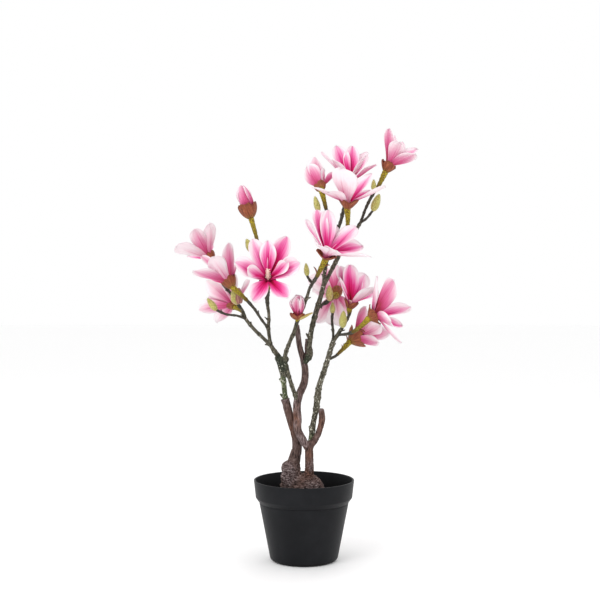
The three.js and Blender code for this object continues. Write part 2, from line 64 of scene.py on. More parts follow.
def tone(red, green, blue):
    """A colour as it is read on a screen, 0 to 255, in the linear numbers that a shader takes."""
    shares = [value / 255 for value in (red, green, blue)]
    return (*[s / 12.92 if s <= 0.04045 else ((s + 0.055) / 1.055) ** 2.4 for s in shares], 1)


def as_piece(name, bm, materials):
    """Makes a bmesh in millimetres a smooth-shaded object in metres, with its place in its mesh."""
    mesh = bpy.data.meshes.new(name)
    bm.to_mesh(mesh)
    bm.free()
    mesh.transform(Matrix.Scale(MM, 4))
    mesh.shade_smooth()
    for material in materials:
        mesh.materials.append(material)
    piece = bpy.data.objects.new(name, mesh)
    bpy.context.scene.collection.objects.link(piece)
    return piece


class Finish:
    """One procedural material. Each method below adds a node and gives back what comes out of it."""

    def __init__(self, name, roughness, specular=0.5):
        self.material = bpy.data.materials.new(name)
        self.material.use_nodes = True
        self.nodes = self.material.node_tree.nodes
        self.links = self.material.node_tree.links
        self.shader = self.nodes["Principled BSDF"]
        self.shader.inputs["Roughness"].default_value = roughness
        self.shader.inputs["Specular IOR Level"].default_value = specular

    def feed(self, socket, value):
        if isinstance(value, bpy.types.NodeSocket):
            self.links.new(value, socket)
        else:
            socket.default_value = value

    def places(self, scale):
        """Places on the object in metres, times scale."""
        mapping = self.nodes.new("ShaderNodeMapping")
        mapping.inputs["Scale"].default_value = scale
        self.links.new(self.nodes.new("ShaderNodeTexCoord").outputs["Object"], mapping.inputs["Vector"])
        return mapping.outputs["Vector"]

    def noise(self, places, scale, detail=3, roughness=0.5):
        node = self.nodes.new("ShaderNodeTexNoise")
        self.links.new(places, node.inputs["Vector"])
        node.inputs["Scale"].default_value = scale
        node.inputs["Detail"].default_value = detail
        node.inputs["Roughness"].default_value = roughness
        return node.outputs[0]

    def attribute(self, name):
        node = self.nodes.new("ShaderNodeAttribute")
        node.attribute_name = name
        return node.outputs["Fac"]

    def uv(self, name):
        """How far across and how far along a sheet, each from 0 to 1, by its own map."""
        node = self.nodes.new("ShaderNodeUVMap")
        node.uv_map = name
        split = self.nodes.new("ShaderNodeSeparateXYZ")
        self.links.new(node.outputs["UV"], split.inputs[0])
        return split.outputs[0], split.outputs[1]

    def vector(self, x, y, z):
        node = self.nodes.new("ShaderNodeCombineXYZ")
        for socket, value in zip(node.inputs, (x, y, z)):
            self.feed(socket, value)
        return node.outputs[0]

    def sum(self, operation, first, second=0.0, third=0.0):
        """One step of arithmetic, such as ADD, MULTIPLY or POWER."""
        node = self.nodes.new("ShaderNodeMath")
        node.operation = operation
        for socket, value in zip(node.inputs, (first, second, third)):
            self.feed(socket, value)
        return node.outputs[0]

    def step(self, value, low, high):
        """0 up to low, 1 from high on, and smooth between them."""
        node = self.nodes.new("ShaderNodeMapRange")
        node.interpolation_type = "SMOOTHSTEP"
        self.feed(node.inputs["Value"], value)
        node.inputs["From Min"].default_value = low
        node.inputs["From Max"].default_value = high
        return node.outputs["Result"]

    def ramp(self, value, stops):
        """A colour from a value, by stops of (position, (red, green, blue)), 0 to 255."""
        node = self.nodes.new("ShaderNodeValToRGB")
        self.feed(node.inputs["Fac"], value)
        elements = node.color_ramp.elements
        while len(elements) < len(stops):
            elements.new(0.5)
        for element, (position, colour) in zip(elements, stops):
            element.position = position
            element.color = tone(*colour)
        return node.outputs["Color"]

    def mix(self, share, first, second):
        node = self.nodes.new("ShaderNodeMix")
        node.data_type = "RGBA"
        colours = [socket for socket in node.inputs if socket.type == "RGBA"]
        self.feed(node.inputs["Factor"], share)
        self.feed(colours[0], first)
        self.feed(colours[1], second)
        return next(socket for socket in node.outputs if socket.type == "RGBA")

    def colour(self, value):
        self.feed(self.shader.inputs["Base Color"], value)

    def roughness(self, value, low, high):
        """Roughness that follows a value from 0 to 1, between low and high."""
        node = self.nodes.new("ShaderNodeMapRange")
        self.feed(node.inputs["Value"], value)
        node.inputs["To Min"].default_value = low
        node.inputs["To Max"].default_value = high
        self.links.new(node.outputs["Result"], self.shader.inputs["Roughness"])

    def bump(self, height, distance):
        """Relief too fine for the mesh, in millimetres."""
        node = self.nodes.new("ShaderNodeBump")
        node.inputs["Distance"].default_value = distance * MM
        self.feed(node.inputs["Height"], height)
        self.links.new(node.outputs["Normal"], self.shader.inputs["Normal"])


scene = bpy.context.scene
scene.view_settings.view_transform = "Standard"

bm = bmesh.new()
bmesh.ops.create_grid(bm, x_segments=1, y_segments=1, size=FLOOR_REACH)
bmesh.ops.translate(bm, verts=bm.verts, vec=(0, 0, -FLOOR_DROP))
pale_floor = Finish("pale_floor", 0.8, specular=0.2)
pale_floor.colour(tone(253, 253, 253))
floor = as_piece("floor", bm, [pale_floor.material])

world = bpy.data.worlds.new("white_studio")
world.use_nodes = True
world.node_tree.nodes["Background"].inputs["Color"].default_value = (1, 1, 1, 1)
world.node_tree.nodes["Background"].inputs["Strength"].default_value = WORLD_STRENGTH
scene.world = world

for name, lamp in LAMPS.items():
    light = bpy.data.lights.new(name, "AREA")
    light.energy = lamp["watts"]
    light.size = lamp["side"] * MM
    shade = bpy.data.objects.new(name, light)
    shade.location = Vector(lamp["place"]) * MM
    shade.rotation_euler = (PICTURE_MIDDLE - Vector(lamp["place"])).to_track_quat("-Z", "Y").to_euler()
    scene.collection.objects.link(shade)

camera = bpy.data.objects.new("camera", bpy.data.cameras.new("camera"))
camera.location = CAMERA_PLACE * MM
camera.rotation_euler = (PICTURE_MIDDLE - CAMERA_PLACE).to_track_quat("-Z", "Y").to_euler()
camera.data.sensor_width = SENSOR_WIDTH
camera.data.lens = SENSOR_WIDTH * (PICTURE_MIDDLE - CAMERA_PLACE).length / PICTURE_WIDTH
scene.collection.objects.link(camera)
scene.camera = camera

# Pot. A plain nursery pot of matte charcoal plastic, moulded in one thin tapered wall with a wide band
# under its rolled rim. It is shut below and stands on a low ring round its flat underside. Its inside is
# darkened with painted shade.
_, pot_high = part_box("pot")
POT_HEIGHT = pot_high.z / MM
POT_RIM_RADIUS = pot_high.x / MM
POT_BAND_DEPTH = 30
POT_BAND_TAPER = 3.3
POT_STEP = 6.2
POT_STEP_HEIGHT = 9
POT_FOOT_RADIUS = 60
POT_FOOT_ROUND = 8
POT_WALL = 3
POT_RECESS = 0.8
FOOT_RING_WIDTH = 7
FOOT_RING_SLOPE = 1
EDGE_ROUND = 0.9
ROUND_STEPS = 144
CREASE_DEPTH = 0.9
CREASE_HEIGHT = 1.8
CREASE_LEAN = 0.3
CREASE_LIP = 0.2
SHARP_TURN = 20  # degrees between two faces from which their edge is rounded
OUTSIDE_TONE_REACH = 2  # how far down inside the rim the outside's tone goes
POT_TONES = [(0.3, (14, 15, 18)), (0.5, (19, 20, 23)), (0.72, (27, 28, 31))]
# Near-black tones for the inside of the wall, from a little below the rim down: painted shade, the plastic
# being the same colour inside.
INSIDE_SHADE_TONES = [(0.3, (3, 3, 4)), (0.7, (8, 8, 9))]


def turned(profile):
    """A closed shape turned round the upright axis from points of (radius, height)."""
    bm = bmesh.new()
    verts = [bm.verts.new((radius, 0, height)) for radius, height in profile]
    for first, second in zip(verts, verts[1:]):
        bm.edges.new((first, second))
    bmesh.ops.spin(bm, geom=bm.verts[:] + bm.edges[:], cent=(0, 0, 0), axis=(0, 0, 1), angle=math.tau,
                   steps=ROUND_STEPS, use_merge=True)
    bmesh.ops.remove_doubles(bm, verts=bm.verts, dist=0.01)
    bmesh.ops.recalc_face_normals(bm, faces=bm.faces)
    return bm


band_foot = POT_HEIGHT - POT_BAND_DEPTH
band_radius = POT_RIM_RADIUS - POT_BAND_TAPER
wall_radius = band_radius - POT_STEP
step_foot = band_foot - POT_STEP_HEIGHT
foot_radius = POT_FOOT_RADIUS - POT_FOOT_ROUND
foot_arc = [math.radians(turn) for turn in range(0, 91, 15)]
pot_profile = [(0, POT_RECESS), (foot_radius - FOOT_RING_WIDTH, POT_RECESS),
               (foot_radius - FOOT_RING_WIDTH + FOOT_RING_SLOPE, 0)]
pot_profile += [(foot_radius + POT_FOOT_ROUND * math.sin(turn), POT_FOOT_ROUND * (1 - math.cos(turn)))
                for turn in foot_arc]
pot_profile += [
    (wall_radius - CREASE_LEAN, step_foot - CREASE_HEIGHT),
    (wall_radius - CREASE_DEPTH, step_foot),
    (wall_radius, step_foot + CREASE_LIP),
    (band_radius, band_foot),
    (POT_RIM_RADIUS, POT_HEIGHT),
    (POT_RIM_RADIUS - POT_WALL, POT_HEIGHT),
    (band_radius - POT_WALL, band_foot),
    (wall_radius - POT_WALL, step_foot),
    (POT_FOOT_RADIUS - POT_WALL, POT_FOOT_ROUND),
    (foot_radius, POT_WALL),
    (0, POT_WALL),
]
bm = turned(pot_profile)
sharp = [edge for edge in bm.edges
         if len(edge.link_faces) == 2 and edge.calc_face_angle() > math.radians(SHARP_TURN)
         and edge.verts[0].co.z > POT_RECESS and abs(edge.verts[0].co.z - edge.verts[1].co.z) < 0.01]
bmesh.ops.bevel(bm, geom=sharp, offset=EDGE_ROUND, offset_type="OFFSET", segments=4, profile=0.5,
                affect="EDGES", material=-1)
# Marks the inside of the wall, where painted shade is laid over the plastic's tone.
inside = bm.verts.layers.float.new("inside")
for vert in bm.verts:
    if POT_WALL - 1 < vert.co.z < POT_HEIGHT - OUTSIDE_TONE_REACH:
        outer_radius = wall_radius if vert.co.z < band_foot else band_radius
        taper = (wall_radius - POT_FOOT_RADIUS) * max(0, 1 - vert.co.z / step_foot)
        vert[inside] = 1 if vert.co.xy.length < outer_radius - taper - 0.5 * POT_WALL else 0

charcoal_plastic = Finish("charcoal_plastic", 0.45, specular=0.14)
mottle = charcoal_plastic.noise(charcoal_plastic.places((1, 1, 1)), 16, 6, 0.62)
outside_tone = charcoal_plastic.ramp(mottle, POT_TONES)
# The inside's near-black tones are painted shade.
painted_inside_shade = charcoal_plastic.ramp(mottle, INSIDE_SHADE_TONES)
shaded_inside = charcoal_plastic.attribute("inside")
charcoal_plastic.colour(charcoal_plastic.mix(shaded_inside, outside_tone, painted_inside_shade))
charcoal_plastic.roughness(mottle, 0.36, 0.6)
charcoal_plastic.bump(charcoal_plastic.noise(charcoal_plastic.places((1, 1, 1)), 1300, 4, 0.6), 0.12)

pot = as_piece("pot_shell", bm, [charcoal_plastic.material])
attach(pot, "root")
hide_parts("pot")

# Filler. The black weight that holds the stems: a rough cast mass with crumbs on its top, poured into the
# pot to a finger's breadth below the rim.
_, filler_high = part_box("filler")
FILLER_TOP = filler_high.z / MM
FILLER_INSET = POT_WALL + 0.6
FILLER_GAP = 0.3
FILLER_RING = 1.6
FILLER_LUMP = 2.6
FILLER_LUMP_SIZE = 17
FILLER_CRUMB = 1.0
FILLER_CRUMB_SIZE = 2.6

top_radius = band_radius - FILLER_INSET
ring_count = round(top_radius / FILLER_RING)
filler_profile = [
    (0, POT_WALL + FILLER_GAP),
    (foot_radius - FILLER_GAP, POT_WALL + FILLER_GAP),
    (POT_FOOT_RADIUS - FILLER_INSET, POT_FOOT_ROUND + FILLER_GAP),
    (wall_radius - FILLER_INSET, step_foot),
]
filler_profile += [(top_radius * (1 - ring / ring_count), FILLER_TOP) for ring in range(ring_count + 1)]
bm = turned(filler_profile)
for vert in bm.verts:
    if vert.co.z > FILLER_TOP - 1:
        lump = noise.fractal(vert.co / FILLER_LUMP_SIZE, 0.8, 2.0, 3)
        crumb = noise.fractal(vert.co / FILLER_CRUMB_SIZE + Vector((5, 0, 0)), 0.5, 2.1, 3)
        vert.co.z += min(0, FILLER_LUMP * (lump - 0.45)) + FILLER_CRUMB * min(0, crumb)

black_filler = Finish("black_filler", 0.9, specular=0.08)
crumbs = black_filler.noise(black_filler.places((1, 1, 1)), 420, 5, 0.7)
black_filler.colour(black_filler.ramp(crumbs, [(0.35, (5, 5, 6)), (0.62, (16, 16, 18)),
                                               (0.8, (34, 33, 34))]))
black_filler.bump(crumbs, 0.8)

filler = as_piece("cast_filler", bm, [black_filler.material])
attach(filler, "root")
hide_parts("filler")

# Moulded stems. Brown resin cast over wire: a wrinkled root knot with a bulb on its left, and three stems
# with blunt prongs that rise from it and stand in the filler. They are cast as one skin, with carved bark.
STEMS = {
    "left_stem": [(-13, 2, 184, 8.6), (-12, 2, 199, 8.3), (-14, 2, 214, 8), (-20, 1, 234, 7.2),
                  (-26, 0, 254, 7.2), (-33, -2, 281, 7)],
    "right_stem": [(7, -16, 138, 9), (9, -16, 160, 7.6), (9, -15, 182, 7.3), (10, -14, 199, 7),
                   (21, -12, 214, 5.6), (28, -12, 231, 5.2), (31, -12, 247, 5.6), (30, -12, 262, 5)],
    "centre_stem": [(9, -15, 194, 6.4), (-3, -16, 213, 6.6), (-11, -16, 229, 7), (-11, -14, 246, 7),
                    (-12, -10, 270, 6.8), (-8, -6, 289, 6.6), (0, -4, 309, 6.4), (2, -2, 330, 6),
                    (-2, -2, 351, 5.2), (-8, -3, 374, 4.8), (-11, -4, 400, 4.2), (-11, -4, 409, 2.6)],
    "short_stub": [(0, 0, 340, 3.6), (4, 1, 356, 3.2), (4, 1, 372, 3), (4, 1, 384, 2.2)],
}
KNOT_BULB = [(-19, 1, 104, 8), (-21, 1, 126, 17), (-22, 1, 146, 18), (-18, 1, 170, 11), (-13, 2, 190, 9)]
MOUND_MIDDLE = Vector((2, -4, 122))
MOUND_REACH = (33, 27, 29)
KNOT_LUMPS = [(-26, -1, 160, 13.5), (-15, -12, 136, 10), (-8, -20, 118, 11), (16, -16, 128, 12),
              (26, -10, 122, 11), (7, -16, 142, 9.5), (-30, 0, 130, 11), (-14, 12, 132, 11),
              (12, 12, 124, 13)]
KNOT_TOP = 178  # the deep wrinkles reach up to here
KNOT_FADE = 30
KNOT_EDGE = 18
KNOT_FOOT = FILLER_TOP - 4  # the knot is cut flat just inside the filler
RING_SPACING = 2
STEM_SIDES = 28
BULB_SIDES = 36
STEM_VOXEL = 0.8
STEM_GRAIN = 4.2
STEM_STRETCH = 4  # how much longer than wide the bark's ridges are
KNOT_STRETCH = 0.7
SMOOTHING = dict(factor=0.5, use_axis_x=True, use_axis_y=True, use_axis_z=True)
STUMP_FLARE = 0.7  # the left stem ends in a sawn rim
STEM_RELIEF = 0.85
KNOT_RELIEF = 2.8
STEM_SPOTS = {  # where the cast is paler or rustier: [x, y, z, reach]
    "pale": [(-33, -2, 286, 16), (0, -9, 345, 13), (-4, -22, 208, 22), (15, -22, 128, 30),
             (-26, -14, 150, 28), (4, 1, 384, 7), (-11, -4, 409, 6)],
    "rust": [(9, -22, 150, 36), (12, -20, 192, 30), (-12, -18, 250, 30), (26, -12, 236, 34),
             (-20, -2, 232, 24)],
}


def limb_rings(points, spacing):
    """Rings of (place, radius) every spacing or so on the smooth line through points [x, y, z, radius]."""
    places = [Vector(point[:3]) for point in points]
    last = len(points) - 1
    slopes = [places[1] - places[0]]
    slopes += [(places[i + 1] - places[i - 1]) / 2 for i in range(1, last)]
    slopes.append(places[last] - places[last - 1])
    rings = [(places[0], points[0][3])]
    for i in range(last):
        start, end = places[i], places[i + 1]
        count = max(2, round((end - start).length / spacing))
        curve = interpolate_bezier(start, start + slopes[i] / 3, end - slopes[i + 1] / 3, end, count + 1)
        for j in range(1, count + 1):
            rings.append((curve[j], points[i][3] + (points[i + 1][3] - points[i][3]) * j / count))
    return rings


def round_end(rings):
    """The same rings with the far end closed in like a thumb."""
    place, radius = rings[-1]
    direction = (place - rings[-2][0]).normalized()
    return rings + [
        (place + direction * radius * 0.8 * math.sin(turn), radius * math.cos(turn))
        for turn in (math.radians(angle) for angle in (25, 50, 70, 84))
    ]


def directions_along(rings):
    """For each ring its direction and two directions across it, carried along without a twist."""
    found = []
    side = None
    for i in range(len(rings)):
        direction = (rings[min(i + 1, len(rings) - 1)][0] - rings[max(i - 1, 0)][0]).normalized()
        side = direction.orthogonal() if side is None else side - direction * side.dot(direction)
        side.normalize()
        found.append((direction, side.copy(), direction.cross(side)))
    return found


def add_limb(bm, rings, sides, slot=0):
    """Rolls a grid into a closed limb along its rings, and gives back its vertices."""
    along = directions_along(rings)
    steps = len(rings) - 1
    grid = bmesh.ops.create_grid(bm, x_segments=sides, y_segments=steps, size=0.5)["verts"]
    for vert in grid:
        ring = round((vert.co.y + 0.5) * steps)
        turn = math.tau * (vert.co.x + 0.5)
        place, radius = rings[ring]
        _, side, across = along[ring]
        vert.co = place + radius * (math.cos(turn) * side + math.sin(turn) * across)
    faces = {face for vert in grid for face in vert.link_faces}
    for face in faces:
        face.material_index = slot
    bmesh.ops.remove_doubles(bm, verts=grid, dist=1e-3)
    kept = {vert for face in faces if face.is_valid for vert in face.verts}
    rims = {edge for vert in kept for edge in vert.link_edges if edge.is_boundary}
    caps = bmesh.ops.holes_fill(bm, edges=list(rims), sides=0)["faces"]
    for cap in caps:
        cap.material_index = slot
    return kept


def fused(bm, name, voxel):
    """Fuses closed shapes into one skin, as the pieces of a casting are, by the Remesh modifier."""
    bmesh.ops.recalc_face_normals(bm, faces=bm.faces)
    mesh = bpy.data.meshes.new(name)
    bm.to_mesh(mesh)
    bm.free()
    rough = bpy.data.objects.new(name, mesh)
    scene.collection.objects.link(rough)
    remesh = rough.modifiers.new("skin", "REMESH")
    remesh.mode = "VOXEL"
    remesh.voxel_size = voxel
    skin = bmesh.new()
    skin.from_object(rough, bpy.context.evaluated_depsgraph_get())
    bpy.data.objects.remove(rough)
    return skin


def mark(bm, name, spots):
    """Keeps how near each vertex is to painted spots [x, y, z, reach], from 0 to 1, as an attribute."""
    layer = bm.verts.layers.float.new(name)
    for vert in bm.verts:
        nearness = [1 - (vert.co - Vector(spot[:3])).length / spot[3] for spot in spots]
        vert[layer] = max(0, *nearness) if nearness else 0


def carve(bm, grain, stretch_at, depth_at):
    """Carves bark that is drawn out upwards by stretch_at, and keeps its height at each vertex as relief,
    from which the finishes paint shade into hollows and highlight onto ridges.
    """
    layer = bm.verts.layers.float.new("relief")
    bm.normal_update()
    moves = []
    for vert in bm.verts:
        spot = Vector((vert.co.x, vert.co.y, vert.co.z / stretch_at(vert.co))) / grain
        ridges = 1 - 2 * abs(noise.fractal(spot, 0.7, 2.1, 3))
        lumps = noise.fractal(spot * 0.35 + Vector((7, 3, 1)), 0.9, 2.0, 2)
        height = 0.7 * ridges + 0.4 * lumps - 0.35
        vert[layer] = 0.5 + 0.5 * height
        moves.append(vert.normal * depth_at(vert.co) * height)
    for vert, move in zip(bm.verts, moves):
        vert.co += move


def under_knot_top(spot, fade):
    """0 above the root knot, 1 well inside it."""
    return min(1, max(0, (KNOT_TOP - spot.z) / fade))


bm = bmesh.new()
add_limb(bm, limb_rings(KNOT_BULB, RING_SPACING), BULB_SIDES)
mound = bmesh.ops.create_uvsphere(bm, u_segments=48, v_segments=32, radius=1)["verts"]
bmesh.ops.scale(bm, verts=mound, vec=MOUND_REACH)
bmesh.ops.translate(bm, verts=mound, vec=MOUND_MIDDLE)
for x, y, z, radius in KNOT_LUMPS:
    lump = bmesh.ops.create_uvsphere(bm, u_segments=24, v_segments=16, radius=radius)["verts"]
    bmesh.ops.translate(bm, verts=lump, vec=(x, y, z))
for name, points in STEMS.items():
    rings = limb_rings(points, RING_SPACING)
    if name == "left_stem":
        rings[-2:] = [(place, radius + STUMP_FLARE) for place, radius in rings[-2:]]
        add_limb(bm, rings, STEM_SIDES)
    else:
        add_limb(bm, round_end(rings), STEM_SIDES)
bm = fused(bm, "stem_skin", STEM_VOXEL)
bmesh.ops.smooth_vert(bm, verts=bm.verts, **SMOOTHING)
bmesh.ops.bisect_plane(bm, geom=bm.verts[:] + bm.edges[:] + bm.faces[:], plane_co=(0, 0, KNOT_FOOT),
                       plane_no=(0, 0, 1), clear_inner=True)
bmesh.ops.holes_fill(bm, edges=[edge for edge in bm.edges if edge.is_boundary], sides=0)
carve(bm, STEM_GRAIN, lambda spot: STEM_STRETCH if spot.z > KNOT_TOP else KNOT_STRETCH,
      lambda spot: STEM_RELIEF + (KNOT_RELIEF - STEM_RELIEF) * under_knot_top(spot, KNOT_FADE))
for kind, spots in STEM_SPOTS.items():
    mark(bm, kind, spots)
knot_share = bm.verts.layers.float.new("knot")
for vert in bm.verts:
    vert[knot_share] = under_knot_top(vert.co, KNOT_EDGE)

brown_resin = Finish("brown_resin", 0.62, specular=0.2)
long_grain = brown_resin.noise(brown_resin.places((1, 1, 0.16)), 560, 5, 0.7)
wrinkles = brown_resin.noise(brown_resin.places((0.6, 0.6, 2.2)), 300, 5, 0.7)
knotted = brown_resin.attribute("knot")
grain = brown_resin.sum("SUBTRACT", wrinkles, long_grain)
grain = brown_resin.sum("MULTIPLY_ADD", grain, knotted, long_grain)
patches = brown_resin.noise(brown_resin.places((1, 1, 0.6)), 34, 3)
# The shade value adds the carved relief to the grain: hollows come out darker and ridges paler. This is
# painted shade and painted highlight, over the resin's own grain and patches.
shade = brown_resin.sum("MULTIPLY_ADD", brown_resin.sum("SUBTRACT", grain, 0.5),
                        brown_resin.sum("MULTIPLY_ADD", knotted, 0.9, 1.5),
                        brown_resin.sum("MULTIPLY_ADD", brown_resin.attribute("relief"), 0.5, 0.25))
bark_brown = brown_resin.ramp(shade, [(0.2, (40, 29, 26)), (0.4, (74, 57, 52)), (0.6, (100, 80, 75)),
                                      (0.85, (134, 116, 111))])
pink_grey = brown_resin.ramp(shade, [(0.2, (44, 33, 32)), (0.4, (88, 71, 69)), (0.6, (124, 107, 106)),
                                     (0.85, (176, 163, 162))])
rust_brown = brown_resin.ramp(shade, [(0.2, (42, 26, 21)), (0.4, (84, 55, 44)), (0.6, (114, 77, 62)),
                                      (0.85, (146, 108, 92))])
paleness = brown_resin.sum("ADD", brown_resin.step(patches, 0.5, 0.68),
                           brown_resin.sum("MULTIPLY", brown_resin.attribute("pale"), 1.3))
rustiness = brown_resin.sum("MULTIPLY", brown_resin.attribute("rust"), brown_resin.step(patches, 0.3, 0.55))
brown_resin.colour(brown_resin.mix(brown_resin.step(paleness, 0.1, 1.2),
                                   brown_resin.mix(rustiness, bark_brown, rust_brown), pink_grey))
brown_resin.roughness(shade, 0.72, 0.46)
brown_resin.bump(grain, 1.1)

stems = as_piece("moulded_stems", bm, [brown_resin.material])
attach(stems, "root")
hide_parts("root_knot", *STEMS)

# Boughs. Bark-covered plastic over wire, pushed into sockets in the stems: each tapers to where its sprays
# start, with leaf-scar rings, short spurs, pale lichen flecks, and green paint over the sockets.
BOUGHS = {
    "left_boughs": {
        "left_bough": [(-32, -2, 275, 4.2), (-35, 0, 307, 4), (-38, 3, 332, 4), (-42, 5, 350, 4.4),
                       (-52, 7, 364, 3.6), (-59, 8, 375, 3.4)],
        "inner_bough": [(-11, -9, 276, 3.6), (-22, -15, 308, 3.2), (-29, -16, 333, 3.2),
                        (-33, -14, 355, 3.4), (-25, -14, 380, 3), (-17, -18, 399, 3), (-12, -24, 417, 2.8)],
        "left_fork_bough": [(-56, 8, 371, 3), (-67, 10, 382, 3), (-87, 14, 401, 2.8), (-102, 18, 419, 2.8),
                            (-107, 20, 432, 2.4), (-113, 24, 441, 2.4)],
        "left_upper_bough": [(-57, 8, 371, 2.8), (-60, 3, 386, 2.8), (-62, 1, 405, 3), (-61, 3, 422, 2.4),
                             (-63, 5, 446, 2.2)],
        "inner_upper_bough": [(-13, -23, 412, 2.6), (-4, -27, 434, 2.5), (4, -33, 456, 2.6),
                              (10, -40, 476, 2.3)],
    },
    "centre_boughs": {
        "centre_bough": [(1, -3, 344, 4.4), (10, -9, 358, 5), (9, -12, 374, 4.2), (13, -12, 402, 4),
                         (19, -12, 426, 4), (23, -10, 440, 4.2), (30, -7, 463, 3.6), (35, -4, 483, 3.6)],
        "top_left_bough": [(34, -4, 478, 3), (36, -1, 502, 3), (40, 3, 524, 2.8), (42, 6, 549, 2.8),
                           (42, 10, 572, 2.4)],
        "top_right_bough": [(34, -5, 478, 3.2), (47, -8, 504, 3.2), (59, -8, 527, 3.4), (67, -4, 541, 3.4),
                            (82, 5, 560, 3), (100, 22, 590, 2.6)],
    },
    "right_boughs": {
        "right_bough": [(11, -10, 198, 4.4), (13, -4, 216, 4.4), (15, -2, 232, 4.8), (18, -1, 248, 4),
                        (21, 0, 262, 4.8), (24, 2, 286, 5.4), (27, 2, 305, 4.4), (37, 2, 335, 4.2),
                        (51, 2, 382, 3.8)],
        "right_upper_bough": [(49, 2, 377, 2.8), (58, 0, 392, 3), (67, 0, 406, 2.6), (74, 0, 418, 2.6),
                              (80, 2, 430, 2.4)],
    },
}
WEBS = [  # where the two left boughs cross they are cast together in a palm
    [(-37, 3, 322, 4.4), (-39, 1, 334, 6), (-41, -1, 345, 7), (-46, 3, 352, 5.5)],
    [(-44, 2, 350, 5.5), (-38, -6, 347, 8.5), (-32, -13, 351, 6.5)],
    [(-38, -4, 332, 5.5), (-34, -9, 336, 6), (-31, -14, 332, 4)],
    [(-36, -2, 322, 3.6), (-33, -8, 326, 4), (-30, -14, 322, 3)],
]
BOUGH_GROWTH = 1.1  # the bark's skin over the limb's bare line
BOUGH_RING_SPACING = 1
BOUGH_SIDES = 20
BOUGH_VOXEL = 0.62
BOUGH_GRAIN = 2.4
BOUGH_STRETCH = 3
BOUGH_RELIEF = 0.42
SCAR_SPACING = 19
SCAR_SWELL = 0.2
SCAR_REACH = 2
SPUR_LENGTH = 4.5
SPUR_SIDES = 8
SCARS_WITHOUT_SPUR = 0.34
GOLDEN_TURN = 137.5  # degrees from one spur, petal or hair to the next
# Painted and lichened places, each (x, y, z, reach).
GREEN_PAINT = [(13, -6, 208, 20), (-33, -1, 290, 22), (-36, 0, 310, 20)]
DARK_PAINT = [(4, -7, 352, 15), (-39, -4, 348, 21), (-34, -10, 340, 18), (16, -12, 424, 9)]
LICHEN = [(14, -4, 220, 44), (22, 0, 270, 50), (28, 2, 310, 50), (44, 2, 355, 44),
          (-35, 0, 300, 36), (-38, 0, 330, 24)]


def vary(seed, index):
    """A seeded number from 0 to 1."""
    wave = math.sin(seed * 12.9898 + index * 78.233) * 43758.5453
    return wave - math.floor(wave)


def knobbly(rings, spacing, seed):
    """The rings with a leaf-scar swelling about every spacing, and which of them have one."""
    gone = [0]
    for i in range(1, len(rings)):
        gone.append(gone[-1] + (rings[i][0] - rings[i - 1][0]).length)
    count = int(gone[-1] / spacing)
    scars = [spacing * (i + 0.35 + 0.6 * vary(seed, i)) for i in range(count)]
    swollen = []
    for (place, radius), at in zip(rings, gone):
        swell = sum(math.exp(-((at - scar) / SCAR_REACH) ** 2) for scar in scars)
        swollen.append((place, radius * (1 + SCAR_SWELL * swell)))
    at_scars = [min(range(len(gone)), key=lambda i: abs(gone[i] - scar)) for scar in scars]
    return swollen, at_scars


def add_spurs(bm, rings, at_scars, length, seed, sides):
    """A short blunt spur at two of three scars, on sides that follow each other round the limb."""
    along = directions_along(rings)
    for number, ring in enumerate(at_scars):
        if vary(seed, number + 50) < SCARS_WITHOUT_SPUR or ring > len(rings) - 6:
            continue
        place, radius = rings[ring]
        direction, side, across = along[ring]
        turn = math.radians(GOLDEN_TURN * number + 360 * vary(seed, number + 70))
        out = math.cos(turn) * side + math.sin(turn) * across
        reach = radius * 0.6 + length * (0.5 + 0.8 * vary(seed, number + 90))
        tip = place + out * reach + direction * reach * 0.7
        knee = place + out * radius * 0.6 + direction * 0.4
        spur = [(*knee, 0.5 * radius), (*knee.lerp(tip, 0.5), 0.42 * radius), (*tip, 0.3 * radius)]
        add_limb(bm, round_end(limb_rings(spur, 1)), sides)


bark = Finish("lichened_bark", 0.72, specular=0.18)
bark_grain = bark.noise(bark.places((1, 1, 0.3)), 520, 5, 0.65)
# The shade value adds the carved relief to the grain: hollows come out darker and ridges paler. This is
# painted shade and painted highlight, over the bark's own grain.
shade = bark.sum("MULTIPLY_ADD", bark.sum("SUBTRACT", bark_grain, 0.5), 1.3,
                 bark.sum("MULTIPLY_ADD", bark.attribute("relief"), 0.6, 0.2))
grey_brown = bark.ramp(shade, [(0.2, (34, 32, 26)), (0.4, (66, 63, 52)), (0.6, (94, 90, 76)),
                               (0.85, (130, 126, 110))])
mossy = bark.ramp(shade, [(0.2, (34, 40, 26)), (0.4, (70, 80, 54)), (0.6, (102, 112, 78)),
                          (0.85, (136, 144, 108))])
bare = bark.mix(bark.step(bark.attribute("moss"), 0.1, 0.9), grey_brown, mossy)
bare = bark.mix(bark.step(bark.attribute("dark"), 0.1, 0.6), bare, bark.ramp(shade, [
    (0.2, (22, 26, 20)), (0.6, (52, 58, 44)), (0.9, (92, 96, 78))]))
fleck_noise = bark.noise(bark.places((1, 1, 0.75)), 360, 2, 0.5)
lichen_share = bark.sum("MULTIPLY_ADD", bark.step(bark.attribute("lichen"), 0, 0.7), 0.07, -0.045)
flecks = bark.step(bark.sum("ADD", fleck_noise, lichen_share), 0.62, 0.67)
bark.colour(bark.mix(flecks, bare, tone(206, 205, 188)))
bark.roughness(shade, 0.82, 0.6)
bark.bump(bark.sum("ADD", bark_grain, bark.sum("MULTIPLY", flecks, 0.5)), 0.7)

